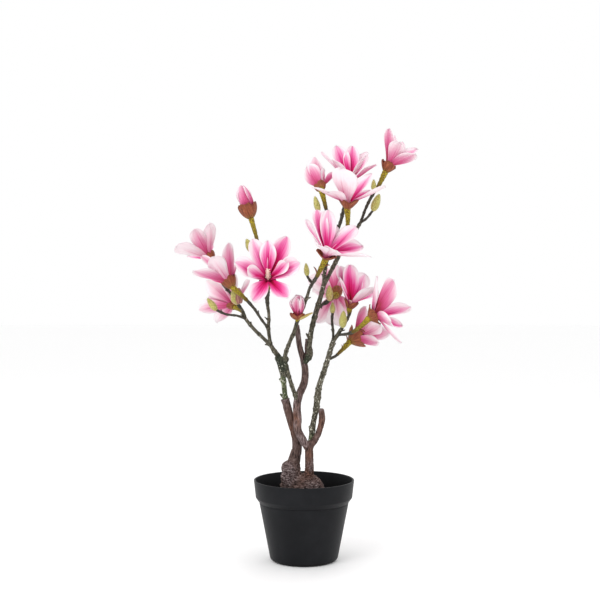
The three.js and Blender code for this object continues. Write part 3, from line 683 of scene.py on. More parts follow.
for group, boughs in BOUGHS.items():
    bm = bmesh.new()
    for web in WEBS if group == "left_boughs" else []:
        add_limb(bm, round_end(limb_rings(web, BOUGH_RING_SPACING)), BOUGH_SIDES)
    for number, points in enumerate(boughs.values()):
        seed = 10 * len(group) + number
        rings, at_scars = knobbly(limb_rings(points, BOUGH_RING_SPACING), SCAR_SPACING, seed)
        rings = [(place, radius * BOUGH_GROWTH) for place, radius in rings]
        add_limb(bm, round_end(rings), BOUGH_SIDES)
        add_spurs(bm, rings, at_scars, SPUR_LENGTH, seed, SPUR_SIDES)
    bm = fused(bm, group + "_skin", BOUGH_VOXEL)
    bmesh.ops.smooth_vert(bm, verts=bm.verts, **SMOOTHING)
    carve(bm, BOUGH_GRAIN, lambda spot: BOUGH_STRETCH, lambda spot: BOUGH_RELIEF)
    mark(bm, "moss", GREEN_PAINT)
    mark(bm, "dark", DARK_PAINT)
    mark(bm, "lichen", LICHEN)
    piece = as_piece(group, bm, [bark.material])
    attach(piece, "root")
    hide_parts(*boughs)

# Twigs. Thinner charcoal shoots of the same plastic-covered wire, one set for each spray: they leave their
# bough, carry small spurs and leaf scars, and end where a bloom's green stem or a bud is pushed on.
# Each twig is a line of points (x, y, z, radius) with a bud or a bloom on its end. A bloom has its axis, how
# many degrees it is open, how faded its print is, and its petals as (turn, lean, length, width, curl).
SPRAYS = {
    "spray_left_outer": [
        dict(points=[(-111, 23, 438, 2.4), (-122, 30, 455, 2.3), (-140, 40, 476, 2.6), (-156, 50, 498, 3),
                     (-164, 60, 520, 3.6)],
             bloom=dict(axis=(-0.55, 0.3, 0.78), open=39, pale=0.15, seed=3806, petals=[
                 (233, 57, 78, 32), (272, 54, 78, 28), (300, 57, 76, 26), (124, 42, 66, 28),
                 (49, 17, 70, 24), (80, 42, 70, 28),
             ])),
    ],
    "spray_left_front": [
        dict(points=[(-62, 1, 403, 2.4), (-75, -5, 421, 2.2), (-86, -9, 438, 2.4), (-102, -13, 456, 3),
                     (-123, -16, 475, 3.8)],
             bloom=dict(axis=(-0.5, 0.35, 0.79), open=50, pale=0.05, seed=5767, petals=[
                 (300, 47, 80, 26, -6), (234, 63, 84, 30), (21, 28, 76, 24), (263, 54, 72, 30, -10),
                 (196, 8, 80, 26), (85, 23, 76, 30), (70, 42, 74, 30), (115, 42, 74, 30),
             ])),
    ],
    "spray_left_back": [
        dict(points=[(-105, 20, 427, 2.4), (-112, 34, 434, 2.8), (-122, 48, 439, 3.6)],
             bloom=dict(axis=(-0.48, 0.75, 0.45), open=52, pale=0.2, seed=4380, petals=[
                 (246, 24, 76, 30), (177, 42, 72, 30), (123, 50, 70, 28), (2, 48, 74, 14),
                 (166, 15, 70, 28), (114, 36, 56, 24), (300, 45, 70, 28),
             ])),
    ],
    "spray_left_tall": [
        dict(points=[(-62, 4, 432, 2.2), (-66, 20, 452, 2.2), (-70, 32, 490, 2.3), (-75, 38, 524, 2.4),
                     (-84, 44, 562, 2.8), (-94, 50, 597, 3.6)], green=52,
             bloom=dict(axis=(-0.3, 0, 0.95), open=8, length=64, pale=0, seed=31)),
        dict(points=[(-73, 36, 514, 2), (-84, 37, 528, 2), (-92, 38, 538, 2.2)],
             bud=dict(axis=(-0.4, 0, 0.9), length=26)),
    ],
    "spray_left_centre": [
        dict(points=[(-63, 5, 442, 2.4), (-63, 0, 457, 2.8), (-62, -18, 470, 3.2), (-61, -42, 487, 3.8)],
             green=26,
             bloom=dict(axis=(0, -0.88, 0.47), open=58, pale=0.05, seed=3034, petals=[
                 (173, 46, 76, 36), (116, 58, 76, 30), (90, 52, 68, 28), (64, 60, 82, 30), (7, 46, 72, 32),
                 (304, 61, 66, 30, 10), (246, 60, 66, 30, 10), (184, 40, 58, 22, -20),
                 (12, 34, 60, 20, -10),
             ])),
    ],
    "spray_centre_bud": [
        dict(points=[(-13, -22, 412, 2.6), (-12, -27, 420, 3)], green=3,
             bloom=dict(axis=(0.05, -0.15, 1), open=8, length=44, pale=0.05, seed=52)),
    ],
    "spray_centre_front": [
        dict(points=[(9, -39, 473, 2.4), (14, -46, 482, 2.8), (22, -56, 495, 3.2), (36, -66, 523, 4)],
             bloom=dict(axis=(0.25, -0.43, 0.87), open=54, pale=0.1, seed=4912, petals=[
                 (188, 39, 80, 17), (126, 42, 86, 26), (52, 50, 80, 30), (35, 72, 76, 28),
                 (342, 64, 82, 30), (243, 47, 64, 30), (280, 48, 62, 30), (108, 37, 84, 30),
                 (87, 48, 66, 30),
             ])),
        dict(points=[(14, -46, 482, 2.2), (8, -46, 490, 2.2), (5, -46, 496, 2.2)],
             bud=dict(axis=(-0.1, 0, 1), length=22, width=9)),
    ],
    "spray_top_left": [
        dict(points=[(42, 10, 569, 2.4), (41, 12, 598, 2.8), (36, 9, 622, 3.2), (30, 6, 645, 4)],
             bloom=dict(axis=(-0.22, 0.79, 0.62), open=27, pale=0.02, seed=907, petals=[
                 (287, 11, 74, 32), (231, 16, 60, 34), (150, 8, 64, 28), (4, 33, 56, 13), (11, 16, 60, 24),
                 (80, 18, 64, 26),
             ])),
        dict(points=[(41, 12, 580, 2), (32, 6, 594, 2), (25, 4, 608, 2.2)],
             bud=dict(axis=(-0.25, 0, 1), length=28, width=11)),
    ],
    "spray_top_middle": [
        dict(points=[(42, 6, 546, 2.4), (52, 12, 562, 2.4), (63, 24, 586, 2.8), (72, 44, 618, 3.2),
                     (83, 64, 654, 4)],
             bloom=dict(axis=(-0.08, -0.31, 0.95), open=47, pale=0.15, seed=4474, petals=[
                 (114, 28, 80, 30), (50, 46, 74, 28), (326, 29, 76, 30), (205, 26, 62, 28),
                 (145, 42, 82, 9), (76, 29, 76, 28), (69, 43, 74, 28, 20), (319, 51, 76, 18),
             ])),
    ],
    "spray_top_front": [
        dict(points=[(68, -4, 542, 2.4), (73, -16, 562, 2.8), (75, -24, 588, 3.2), (74, -28, 610, 4)],
             green=46,
             bloom=dict(axis=(0.1, -0.3, 0.95), open=54, pale=0.12, seed=3657, petals=[
                 (227, 21, 78, 46, -5), (198, 61, 76, 28), (337, 51, 80, 30), (44, 40, 76, 29),
                 (228, 50, 62, 28, 10), (50, 66, 64, 26), (113, 48, 68, 28), (100, 50, 66, 28),
             ])),
    ],
    "spray_top_right": [
        dict(points=[(99, 21, 587, 2.4), (108, 27, 612, 2.4), (120, 35, 636, 2.8), (133, 43, 656, 3.2),
                     (145, 50, 680, 4)], green=38,
             bloom=dict(axis=(0.45, 0.02, 0.88), open=39, pale=0.05, seed=4736, petals=[
                 (234, 36, 80, 28), (301, 56, 76, 28), (43, 31, 80, 30), (115, 25, 76, 30),
                 (268, 45, 74, 30), (62, 36, 74, 28), (89, 26, 72, 26), (80, 52, 68, 28),
             ])),
        dict(points=[(118, 34, 632, 2), (121, 34, 640, 1.9), (123, 34, 646, 1.9)],
             bud=dict(axis=(0, 0, 1), length=20, width=9)),
    ],
    "spray_right_back": [
        dict(points=[(23, -9, 438, 2.4), (31, 2, 444, 2.6), (40, 20, 450, 3.2), (57, 44, 461, 4)], green=26,
             bloom=dict(axis=(-0.08, 0.95, 0.3), open=53, pale=0.2, seed=960, petals=[
                 (205, 36, 72, 31), (164, 31, 68, 28), (245, 28, 76, 30), (287, 26, 74, 30),
                 (120, 70, 76, 30), (99, 72, 70, 28), (86, 76, 72, 28), (330, 30, 66, 26), (60, 60, 64, 26),
             ])),
        dict(points=[(33, 4, 445, 2), (41, 2, 448, 2), (44, 0, 453, 2)],
             bud=dict(axis=(0, 0, 1), length=27, width=13)),
    ],
    "spray_right_upper": [
        dict(points=[(78, 2, 426, 2.6), (79, 4, 432, 3.4), (79, 6, 438, 4)], green=12,
             bloom=dict(axis=(0.3, -0.12, 0.94), open=42, pale=0.02, seed=2270, petals=[
                 (121, 30, 80, 32), (303, 42, 69, 28), (77, 36, 76, 30), (138, 38, 78, 26),
                 (190, 34, 58, 24), (92, 39, 70, 28), (53, 60, 68, 26),
             ])),
    ],
    "spray_right_outer": [
        dict(points=[(59, 0, 393, 2.4), (70, -14, 394, 2.4), (82, -26, 398, 3), (97, -38, 409, 3.2),
                     (110, -48, 423, 4)], green=42,
             bloom=dict(axis=(0.85, 0.1, 0.5), open=55, pale=0, seed=2607, petals=[
                 (240, 48, 90, 36), (206, 56, 74, 24, -10), (324, 79, 82, 12), (41, 16, 78, 30),
                 (293, 74, 66, 32), (150, 49, 60, 24, -10), (32, 47, 66, 28), (84, 43, 68, 28),
             ])),
    ],
    "spray_right_lower": [
        dict(points=[(42, 2, 350, 2.6), (54, 10, 354, 2.4), (66, 18, 364, 3), (81, 26, 379, 4)],
             bloom=dict(axis=(0.8, 0.3, 0.5), open=33, pale=-0.1, seed=3796, petals=[
                 (237, 53, 72, 30), (280, 41, 66, 28), (305, 37, 74, 28), (305, 67, 62, 26),
                 (40, 35, 62, 26), (348, 16, 70, 26), (90, 38, 66, 28),
             ])),
    ],
    "bud_twig_left_low": [
        dict(points=[(-102, 18, 419, 2), (-116, 13, 425, 2), (-136, 6, 428, 2), (-153, 0, 436, 2.4)],
             bud=dict(axis=(-0.6, -0.1, 0.8), length=27, width=12)),
    ],
    "bud_twig_left": [
        dict(points=[(-111, 22, 438, 2), (-115, 16, 443, 2.2), (-117, 14, 447, 2.6)],
             bud=dict(axis=(-0.2, -0.2, 1), length=30, width=20)),
    ],
    "bud_twig_top_right": [
        dict(points=[(98, 20, 587, 2), (110, 18, 596, 2), (121, 14, 610, 2.2)],
             bud=dict(axis=(0.35, -0.1, 0.93), length=32, width=15)),
    ],
    "bud_twig_right_inner": [
        dict(points=[(50, 3, 378, 2.2), (51, 7, 396, 2.2), (49, 10, 416, 2.2), (50, 12, 430, 2.4)],
             bud=dict(axis=(0, 0, 1), length=20, width=9)),
    ],
    "bud_twig_right": [
        dict(points=[(66, 0, 404, 2), (67, -7, 405, 2.2), (67, -10, 407, 2.4)],
             bud=dict(axis=(0.05, -0.1, 1), length=30, width=14)),
    ],
}
GREEN_STEM = 34  # how much of a bloom's twig is its green stem, where a spray names no other
TWIG_RING_SPACING = 1.2
TWIG_SIDES = 14
TWIG_SCAR_SPACING = 12
TWIG_SPUR = 2.8
TWIG_SPUR_SIDES = 7
TWIG_GRAIN = 1.9
TWIG_ROUGHNESS = 0.3


def split_twig(twig):
    """The rings of a twig's bark, and those of the green stem that ends in its bloom."""
    rings = limb_rings(twig["points"], TWIG_RING_SPACING)
    green = twig.get("green", GREEN_STEM) if "bloom" in twig else 0
    left = 0
    for i in range(len(rings) - 1, 0, -1):
        left += (rings[i][0] - rings[i - 1][0]).length
        if left >= green:
            return rings[: i + 1], rings[i - 1:]
    return rings[:2], rings


def plain_name(name):
    """A spray's name without what kind of spray it is."""
    return name.replace("spray_", "").replace("bud_twig", "shoot")


def roughen(bm, verts, grain, depth):
    """Uneven bark on a limb that is too thin to carve."""
    bm.normal_update()
    for vert in verts:
        vert.co += vert.normal * depth * noise.fractal(vert.co / grain, 0.7, 2.1, 3)


charcoal_bark = Finish("charcoal_bark", 0.74, specular=0.18)
twig_grain = charcoal_bark.noise(charcoal_bark.places((1, 1, 0.6)), 620, 5, 0.65)
charcoal_bark.colour(charcoal_bark.ramp(
    twig_grain, [(0.28, (30, 28, 25)), (0.46, (60, 57, 50)), (0.6, (86, 83, 74)),
                 (0.74, (136, 133, 120))]))
charcoal_bark.roughness(twig_grain, 0.84, 0.62)
charcoal_bark.bump(twig_grain, 0.6)

for number, (name, twigs) in enumerate(SPRAYS.items()):
    bm = bmesh.new()
    for place_in_spray, twig in enumerate(twigs):
        seed = 7 * number + place_in_spray
        rings, at_scars = knobbly(split_twig(twig)[0], TWIG_SCAR_SPACING, seed)
        verts = add_limb(bm, rings, TWIG_SIDES)
        roughen(bm, verts, TWIG_GRAIN, TWIG_ROUGHNESS)
        add_spurs(bm, rings, at_scars, TWIG_SPUR, seed, TWIG_SPUR_SIDES)
    bmesh.ops.recalc_face_normals(bm, faces=bm.faces)
    piece = as_piece("twig_" + plain_name(name), bm, [charcoal_bark.material])
    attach(piece, "root")
    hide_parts(name)

# Green stems and calyxes. Each bloom's foot is a yellow-green moulded stem, ringed and mottled, some with
# small hooked scales. It widens into a calyx whose three red-brown leathery sepals hug the bloom's foot.
GREEN_STEM_SIDES = 18
STEM_RING_SPACING = 4.2
CALYX_RADIUS = 5
CALYX_FLOOR = [(0.8, 1), (1.8, 1), (2.4, 0.7)]  # height over the bloom's foot and share of CALYX_RADIUS
STEM_SWELL = 0.3  # how much thicker the green stem grows towards its calyx
SEPAL_LENGTH = 18
SEPAL_REACH = 66  # degrees to each side that a sepal wraps round the cup
SEPAL_THICKNESS = 0.9
SEPAL_SEAT = 1
SEPAL_LAP = 0.25  # how far one edge of a sepal stands over its other
SEPAL_WAVE_OUT = 0.5
SEPAL_WAVE_UP = 1.2
NARROWING_START = 0.3  # the share of a sepal up to which it keeps its full width
SEPAL_COLUMNS = 16
SEPAL_ROWS = 14
SEPAL_KINDS = {  # size, lean at foot and rim, the share of its width left at the rim, and how far turned
    "spray_left_tall": (1.5, 51, -4, 0.55, 50),
    "spray_centre_bud": (0.75, 58, 16, 0.05, 20),
    "spray_right_lower": (1.6, 54, 34, 0.25, -35),
    "spray_right_outer": (1.1, 56, 42, 0.2, -35),
    "spray_left_front": (1.15, 42, 10, 0.2, -35),
    "spray_centre_front": (1, 54, 42, 0.12, 10),
    "spray_top_front": (1.2, 46, 24, 0.15, 30),
    "spray_top_right": (1.05, 46, 16, 0.2, -35),
    "spray_left_back": (0.7, 34, 12, 0, 0),
    "spray_left_centre": (0.6, 54, 50, 0, 0),
    "spray_top_left": (0.85, 34, 8, 0, 0),
}
HOOKED_STEMS = ["spray_centre_front", "spray_right_upper", "spray_right_outer", "spray_right_lower"]
MOST_SCALES = 3
SCALE_LENGTH = 10
SCALE_WIDTH = 4
SCALE_COLUMNS = 6
SCALE_ROWS = 10
PETAL_FOOT = 0.3  # a petal's width at its foot, as a share of its greatest
KNEE = 0.3  # the share of a petal that rises within its cup
FLATTENING = 0.45  # how much of its cup a petal loses by its tip
RUFFLE_WAVES = 5.2
EDGE_WAVES = 9
FULL_WAVE = 6.3  # about one turn in radians, so that a seed can start a wave anywhere in it
CREASE_WIDTH = 0.16
CURL_START = 0.66  # the share of a petal from which its tip curls
TIP_CROWDING = 1.6  # rows stand closer towards a sheet's tip, where it rounds off


def bloom_frame(foot, axis):
    """Brings a bloom that is built along +Z to its foot and axis."""
    direction = Vector(axis).normalized()
    return Matrix.Translation(foot) @ Vector((0, 0, 1)).rotation_difference(direction).to_matrix().to_4x4()


def head_frame(twig):
    """Brings the bloom or the bud of a twig to the twig's end."""
    head = twig.get("bloom") or twig["bud"]
    return bloom_frame(Vector(twig["points"][-1][:3]), head["axis"])


def petal_outline(along):
    """A petal's half width as a share of its greatest: slim at its foot, broad and round towards its tip."""
    swell = max(0, math.sin(math.pi * min(1, along) ** 2.1)) ** 0.52
    return max(PETAL_FOOT, swell) if along < 0.5 else swell


def scale_outline(along):
    """Broad from the foot, then drawn in to a point."""
    return max(0, math.sin(math.pi * min(1, 0.2 + 0.8 * along))) ** 0.8


def arc(length, first, last, share):
    """How far out and up an arc gets by a share of its length, and its lean there, from first to last."""
    bend = last - first if abs(last - first) > 0.02 else 0.02
    lean = first + bend * share
    out = length * (math.cos(first) - math.cos(lean)) / bend
    up = length * (math.sin(lean) - math.sin(first)) / bend
    return out, up, lean


def sepal_place(sepal, along, across):
    """A place on a sepal: one lobe of a cup that opens by first degrees at its foot and last at its rim."""
    reach, rise, _ = arc(sepal["length"], math.radians(sepal["first"]), math.radians(sepal["last"]), along)
    reach += sepal["start"]
    seed = sepal["seed"]
    narrowing = max(0, (along - NARROWING_START) / (1 - NARROWING_START)) ** 1.5
    lobe = math.cos(0.5 * math.pi * narrowing) ** 0.7 if narrowing < 1 else 0
    lobe = sepal["blunt"] + (1 - sepal["blunt"]) * lobe
    reach += SEPAL_WAVE_OUT * math.sin(7 * across + FULL_WAVE * vary(seed, 3)) * along + SEPAL_LAP * across
    rise += SEPAL_SEAT - SEPAL_WAVE_UP * math.sin(4 * across + FULL_WAVE * vary(seed, 4)) * along
    turn = math.radians(sepal["turn"] + SEPAL_REACH * across * lobe)
    return Vector((reach * math.cos(turn), reach * math.sin(turn), rise))


def bent_place(sheet, outline, along, across):
    """A place on a petal that leans by foot degrees at its start, first at its knee and last at its tip."""
    foot, first, last = (math.radians(sheet[name]) for name in ("foot", "first", "last"))
    reach, rise, lean = arc(KNEE * sheet["length"], foot, first, min(1, along / KNEE))
    if along > KNEE:
        out, up, lean = arc((1 - KNEE) * sheet["length"], first, last, (along - KNEE) / (1 - KNEE))
        reach += out
        rise += up
    half = 0.5 * sheet["width"] * outline(along)
    seed = sheet["seed"]
    ruffle = sheet.get("ruffle", 0)
    wave = math.sin(RUFFLE_WAVES * along + FULL_WAVE * vary(seed, 61) + 2.2 * across)
    edge_wave = math.sin(EDGE_WAVES * along + FULL_WAVE * vary(seed, 62))
    crease = math.exp(-((across / CREASE_WIDTH) ** 2)) * min(1, 4 * along) * (1 - along)
    lift = sheet["cup"] * half * across * across * (1 - FLATTENING * along ** 3)
    lift += ruffle * wave * (0.4 + abs(across)) * along
    lift -= sheet.get("crease", 0) * crease
    lift += sheet.get("curl", 0) * max(0, (along - CURL_START) / (1 - CURL_START)) ** 2
    lift += sheet.get("twist", 0) * half * across * along
    half += 0.5 * ruffle * edge_wave * min(1, half / 6)
    sway = sheet.get("sway", 0) * along * along
    reach += sheet["start"] - lift * math.cos(lean)
    rise += lift * math.sin(lean)
    turn = math.radians(sheet["turn"])
    outward = Vector((math.cos(turn), math.sin(turn), 0))
    sideways = Vector((math.sin(turn), -math.cos(turn), 0))
    return outward * reach + sideways * (half * across + sway) + Vector((0, 0, rise))


def sheets():
    """An empty mesh for sheets, each with its own tint and map."""
    bm = bmesh.new()
    bm.verts.layers.float.new("tint")
    bm.loops.layers.uv.new("sheet_map")
    return bm


def add_sheet(bm, columns, rows, place, inward, tint):
    """A grid laid on place(along, across), with its right side to inward, its own map and its own tint."""
    tints = bm.verts.layers.float["tint"]
    grid = bmesh.ops.create_grid(bm, x_segments=columns, y_segments=rows, size=0.5, calc_uvs=True)["verts"]
    bm.faces.index_update()
    faces = sorted({face for vert in grid for face in vert.link_faces}, key=lambda face: face.index)
    for vert in grid:
        along = 1 - (0.5 - vert.co.y) ** TIP_CROWDING if vert.co.y < 0.4999 else 1
        vert.co = place(along, 2 * vert.co.x)
        vert[tints] = tint
    bmesh.ops.remove_doubles(bm, verts=grid, dist=0.01)
    faces = [face for face in faces if face.is_valid]
    bmesh.ops.recalc_face_normals(bm, faces=faces)
    if sum(face.normal.dot(inward(face.calc_center_median())) for face in faces) < 0:
        bmesh.ops.reverse_faces(bm, faces=faces)


def thickened(piece, thickness, slot_step):
    """Gives sheets their thickness, away from their right side."""
    solidify = piece.modifiers.new("thickness", "SOLIDIFY")
    solidify.thickness = thickness * MM
    solidify.offset = -1
    solidify.use_rim = True
    solidify.material_offset = slot_step


def add_bent_sheet(bm, matrix, sheet, outline, columns, rows, tint):
    turn = math.radians(sheet["turn"])
    inward = matrix.to_3x3() @ Vector((-math.cos(turn), -math.sin(turn), 0.6))
    add_sheet(bm, columns, rows, lambda along, across: matrix @ bent_place(sheet, outline, along, across),
              lambda centre: inward, tint)


blooming = {name: twigs[0] for name, twigs in SPRAYS.items() if "bloom" in twigs[0]}

stem_green = Finish("green_stem", 0.5, specular=0.25)
stem_mottle = stem_green.noise(stem_green.places((1, 1, 1.6)), 480, 4, 0.6)
stem_colour = stem_green.ramp(stem_green.attribute("along"), [
    (0, (72, 62, 30)), (0.2, (112, 100, 30)), (0.55, (158, 144, 30)), (1, (182, 164, 40))])
stem_green.colour(stem_green.mix(stem_green.step(stem_mottle, 0.44, 0.6), stem_colour, tone(92, 66, 26)))
stem_green.roughness(stem_mottle, 0.42, 0.66)
stem_green.bump(stem_mottle, 0.9)

sepal_leather = Finish("sepal_leather", 0.55, specular=0.22)
sepal_across, sepal_up = sepal_leather.uv("sheet_map")
ribs_across = sepal_leather.sum("MULTIPLY", sepal_across, 16)
ribs_up = sepal_leather.sum("MULTIPLY", sepal_up, 1.6)
ribs_seat = sepal_leather.sum("MULTIPLY", sepal_leather.attribute("tint"), 9)
ribs = sepal_leather.noise(sepal_leather.vector(ribs_across, ribs_up, ribs_seat), 1, 3, 0.6)
sepal_grain = sepal_leather.noise(sepal_leather.places((1, 1, 1)), 700, 3, 0.6)
rib_shade = sepal_leather.sum("MULTIPLY_ADD", sepal_grain, 0.3, sepal_leather.sum("SUBTRACT", ribs, 0.15))
red_brown = sepal_leather.ramp(rib_shade, [
    (0.25, (86, 44, 30)), (0.45, (130, 70, 47)), (0.6, (156, 89, 60)), (0.8, (190, 122, 86))])
olive_brown = sepal_leather.ramp(rib_shade, [
    (0.25, (92, 66, 30)), (0.5, (142, 104, 50)), (0.8, (184, 146, 76))])
sepal_leather.colour(sepal_leather.mix(sepal_leather.step(sepal_up, -0.1, 0.28), olive_brown, red_brown))
sepal_leather.roughness(ribs, 0.44, 0.68)
sepal_leather.bump(rib_shade, 0.8)

for name, twig in blooming.items():
    bloom = twig["bloom"]
    matrix = head_frame(twig)
    foot = matrix.translation
    axis = matrix.to_3x3() @ Vector((0, 0, 1))
    seed = bloom["seed"]

    bm = bmesh.new()
    along_stem = bm.verts.layers.float.new("along")
    rings, at_scars = knobbly(split_twig(twig)[1], STEM_RING_SPACING, seed)
    rings = [(place, radius * (0.96 + STEM_SWELL * (i / len(rings)) ** 2))
             for i, (place, radius) in enumerate(rings)]
    rings += [(matrix @ Vector((0, 0, rise)), share * CALYX_RADIUS) for rise, share in CALYX_FLOOR]
    verts = add_limb(bm, rings, GREEN_STEM_SIDES)
    start = rings[0][0]
    whole = (rings[-1][0] - start).length
    for vert in verts:
        vert[along_stem] = min(1, (vert.co - start).length / whole)
    bmesh.ops.recalc_face_normals(bm, faces=bm.faces)
    piece = as_piece(name.replace("spray", "stem"), bm, [stem_green.material])
    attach(piece, "root")
    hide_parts(name)

    bm = sheets()
    size, first, last, blunt, turned_by = SEPAL_KINDS.get(name, (1, 42, 0.3 * bloom["open"], 0, 0))
    for i in range(3):
        sepal = dict(length=SEPAL_LENGTH * size * (0.86 + 0.28 * vary(seed, i + 120)),
                     turn=60 + turned_by + 120 * i + 20 * vary(seed, i + 100),
                     first=first, last=last + 8 * (vary(seed, i + 110) - 0.5),
                     start=CALYX_RADIUS, blunt=blunt, seed=seed + i)
        add_sheet(bm, SEPAL_COLUMNS, SEPAL_ROWS,
                  lambda along, across: matrix @ sepal_place(sepal, along, across),
                  lambda centre: foot + axis * axis.dot(centre - foot) - centre, vary(seed, i + 140))
    along = directions_along(rings)
    hooked = [ring for ring in at_scars[1::2] if vary(seed, ring) > 0.35] if name in HOOKED_STEMS else []
    for i, ring in enumerate(hooked[:MOST_SCALES]):
        place, radius = rings[ring]
        direction = along[ring][0]
        sheet = dict(length=SCALE_LENGTH * (0.8 + 0.5 * vary(seed, i + 150)), width=SCALE_WIDTH, cup=0.7,
                     start=0.8 * radius, turn=360 * vary(seed, i + 160), foot=30, first=45,
                     last=105 if i % 2 else 60, seed=seed + i)
        at_scar = bloom_frame(place, direction)
        add_bent_sheet(bm, at_scar, sheet, scale_outline, SCALE_COLUMNS, SCALE_ROWS, 0.3)
    piece = as_piece(name.replace("spray", "calyx"), bm, [sepal_leather.material])
    thickened(piece, SEPAL_THICKNESS, 0)
    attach(piece, "root")
    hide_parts(name)

# Petals. Each open bloom has six to nine of stiff printed fabric, glued into its calyx: crimson at the foot,
# streaked with magenta, fading to a near-white tip, and paler outside than in. Two blooms are still shut.
PETAL_CUP = 0.4
PETAL_START = 3
PETAL_THICKNESS = 0.6
PETAL_RUFFLE = 1.5
PETAL_CREASE = 2
PETAL_CURL = 6
PETAL_SWAY = 4
PETAL_TWIST = 0.9
PETAL_COLUMNS = 14
PETAL_ROWS = 26
SHUT_BLOOMS = {  # lean at a petal's foot and at its tip, its width, and how many there are
    "spray_left_tall": (34, -34, 26, 4),
    "spray_centre_bud": (29, -22, 28, 7),
}
PALE_SPREAD = 0.7  # how much more faded than its bloom's deepest print a petal may be
SHUT_PALE_SPREAD = 0.25
SHUT_TIGHTENING = 0.07  # how much less than the one before it each petal of a shut bloom leans
SHUT_NARROWING = 0.1
SHUT_CUP = 0.62
SHUT_RUFFLE = 0.4
SHUT_CREASE = 0.8
SHUT_TWIST = 0.3


def open_petals(bloom):
    """The petals of an open bloom, each as the facts of one bent sheet."""
    seed = bloom["seed"]
    return [dict(
        length=length,
        width=width,
        turn=turn,
        foot=2 + 0.1 * lean,
        first=4 + 1.12 * lean,
        last=lean + sum(curl),
        cup=PETAL_CUP,
        start=PETAL_START,
        seed=seed + i,
        ruffle=PETAL_RUFFLE,
        crease=PETAL_CREASE,
        curl=PETAL_CURL * (vary(seed, i + 60) - 0.55),
        sway=PETAL_SWAY * (vary(seed, i + 80) - 0.5),
        twist=PETAL_TWIST * (vary(seed, i + 70) - 0.5),
    ) for i, (turn, lean, length, width, *curl) in enumerate(bloom["petals"])]


def shut_petals(bloom, lean_at_foot, lean_at_tip, width, count):
    """The petals of a shut bloom: upright, hollow, and lapped over each other."""
    seed = bloom["seed"]
    return [dict(
        length=bloom["length"] * (0.9 + 0.12 * vary(seed, i + 20)),
        width=width * (0.85 + 0.2 * vary(seed, i + 30)),
        turn=GOLDEN_TURN * i,
        foot=lean_at_foot * (1 - SHUT_TIGHTENING * i),
        first=0.7 * lean_at_foot * (1 - SHUT_TIGHTENING * i) + 0.3 * lean_at_tip,
        last=lean_at_tip + 6 * (vary(seed, i + 10) - 0.5),
        cup=SHUT_CUP,
        start=PETAL_START * (1 - SHUT_NARROWING * i),
        seed=seed + i,
        ruffle=SHUT_RUFFLE,
        crease=SHUT_CREASE,
        twist=SHUT_TWIST * (vary(seed, i + 70) - 0.5),
    ) for i in range(count)]


def petal_finish(name, stops, rib_tone, rib_strength, edge_reach, fading, streaks):
    """Printed fabric: its colours run from foot to tip, sooner at the edges, streaked along the veins."""
    finish = Finish(name, 0.72, specular=0.15)
    across, up = finish.uv("sheet_map")
    tint = finish.attribute("tint")
    left = finish.sum("SUBTRACT", 1, up)
    along = finish.sum("SUBTRACT", 1, finish.sum("POWER", left, TIP_CROWDING))
    edge = finish.sum("ABSOLUTE", finish.sum("MULTIPLY_ADD", across, 2, -1))
    seat = finish.sum("MULTIPLY", tint, 37)
    fine = finish.vector(finish.sum("MULTIPLY", across, 46), finish.sum("MULTIPLY", along, 2.4), seat)
    fine = finish.noise(fine, 1, 3, 0.55)
    broad = finish.vector(finish.sum("MULTIPLY", across, 13), finish.sum("MULTIPLY", along, 1.8), seat)
    broad = finish.noise(broad, 1, 2, 0.5)
    streak = finish.sum("MULTIPLY_ADD", finish.step(broad, 0.36, 0.64), 0.6,
                        finish.sum("MULTIPLY", finish.step(fine, 0.36, 0.64), 0.4))
    by_edge = finish.sum("MULTIPLY", finish.sum("POWER", edge, 1.6),
                         finish.sum("MULTIPLY_ADD", along, edge_reach, 0.12 * edge_reach))
    fade = finish.sum("MULTIPLY_ADD", along, 0.82, by_edge)
    fade = finish.sum("MULTIPLY_ADD", finish.sum("SUBTRACT", streak, 0.5), streaks, fade)
    fade = finish.sum("MULTIPLY_ADD", finish.sum("SUBTRACT", tint, 0.5), fading, fade)
    print_colour = finish.ramp(fade, stops)
    rib = finish.sum("SUBTRACT", 1, finish.step(edge, 0.015, 0.09))
    rib = finish.sum("MULTIPLY", rib, finish.sum("SUBTRACT", 1, finish.step(along, 0.35, 0.9)))
    near_foot = finish.sum("SUBTRACT", 1, finish.step(along, 0.1, 0.85))
    veins = finish.sum("MULTIPLY", finish.step(fine, 0.55, 0.7), near_foot)
    lines = finish.sum("MAXIMUM", rib, finish.sum("MULTIPLY", veins, 0.6))
    lines = finish.sum("MULTIPLY", lines, rib_strength)
    finish.colour(finish.mix(lines, print_colour, rib_tone))
    finish.roughness(fine, 0.6, 0.82)
    weave = finish.noise(finish.places((1, 1, 1)), 1500, 2, 0.5)
    relief = finish.sum("MULTIPLY_ADD", fine, 1.2, finish.sum("MULTIPLY_ADD", weave, 0.2, broad))
    finish.bump(relief, 0.8)
    return finish


petal_inside = petal_finish("petal_inside", [
    (0, (112, 4, 26)), (0.1, (168, 8, 52)), (0.24, (212, 22, 100)), (0.42, (226, 56, 136)),
    (0.56, (236, 112, 172)), (0.72, (245, 168, 204)), (0.88, (250, 214, 229)), (1, (252, 238, 243))],
    tone(160, 8, 70), 0.6, 0.7, 0.36, 0.17)
petal_outside = petal_finish("petal_outside", [
    (0, (168, 62, 76)), (0.1, (196, 70, 114)), (0.3, (216, 104, 150)), (0.48, (229, 154, 184)),
    (0.66, (240, 201, 214)), (0.9, (250, 238, 242))],
    tone(196, 50, 112), 0.5, 0.5, 0.85, 0.13)

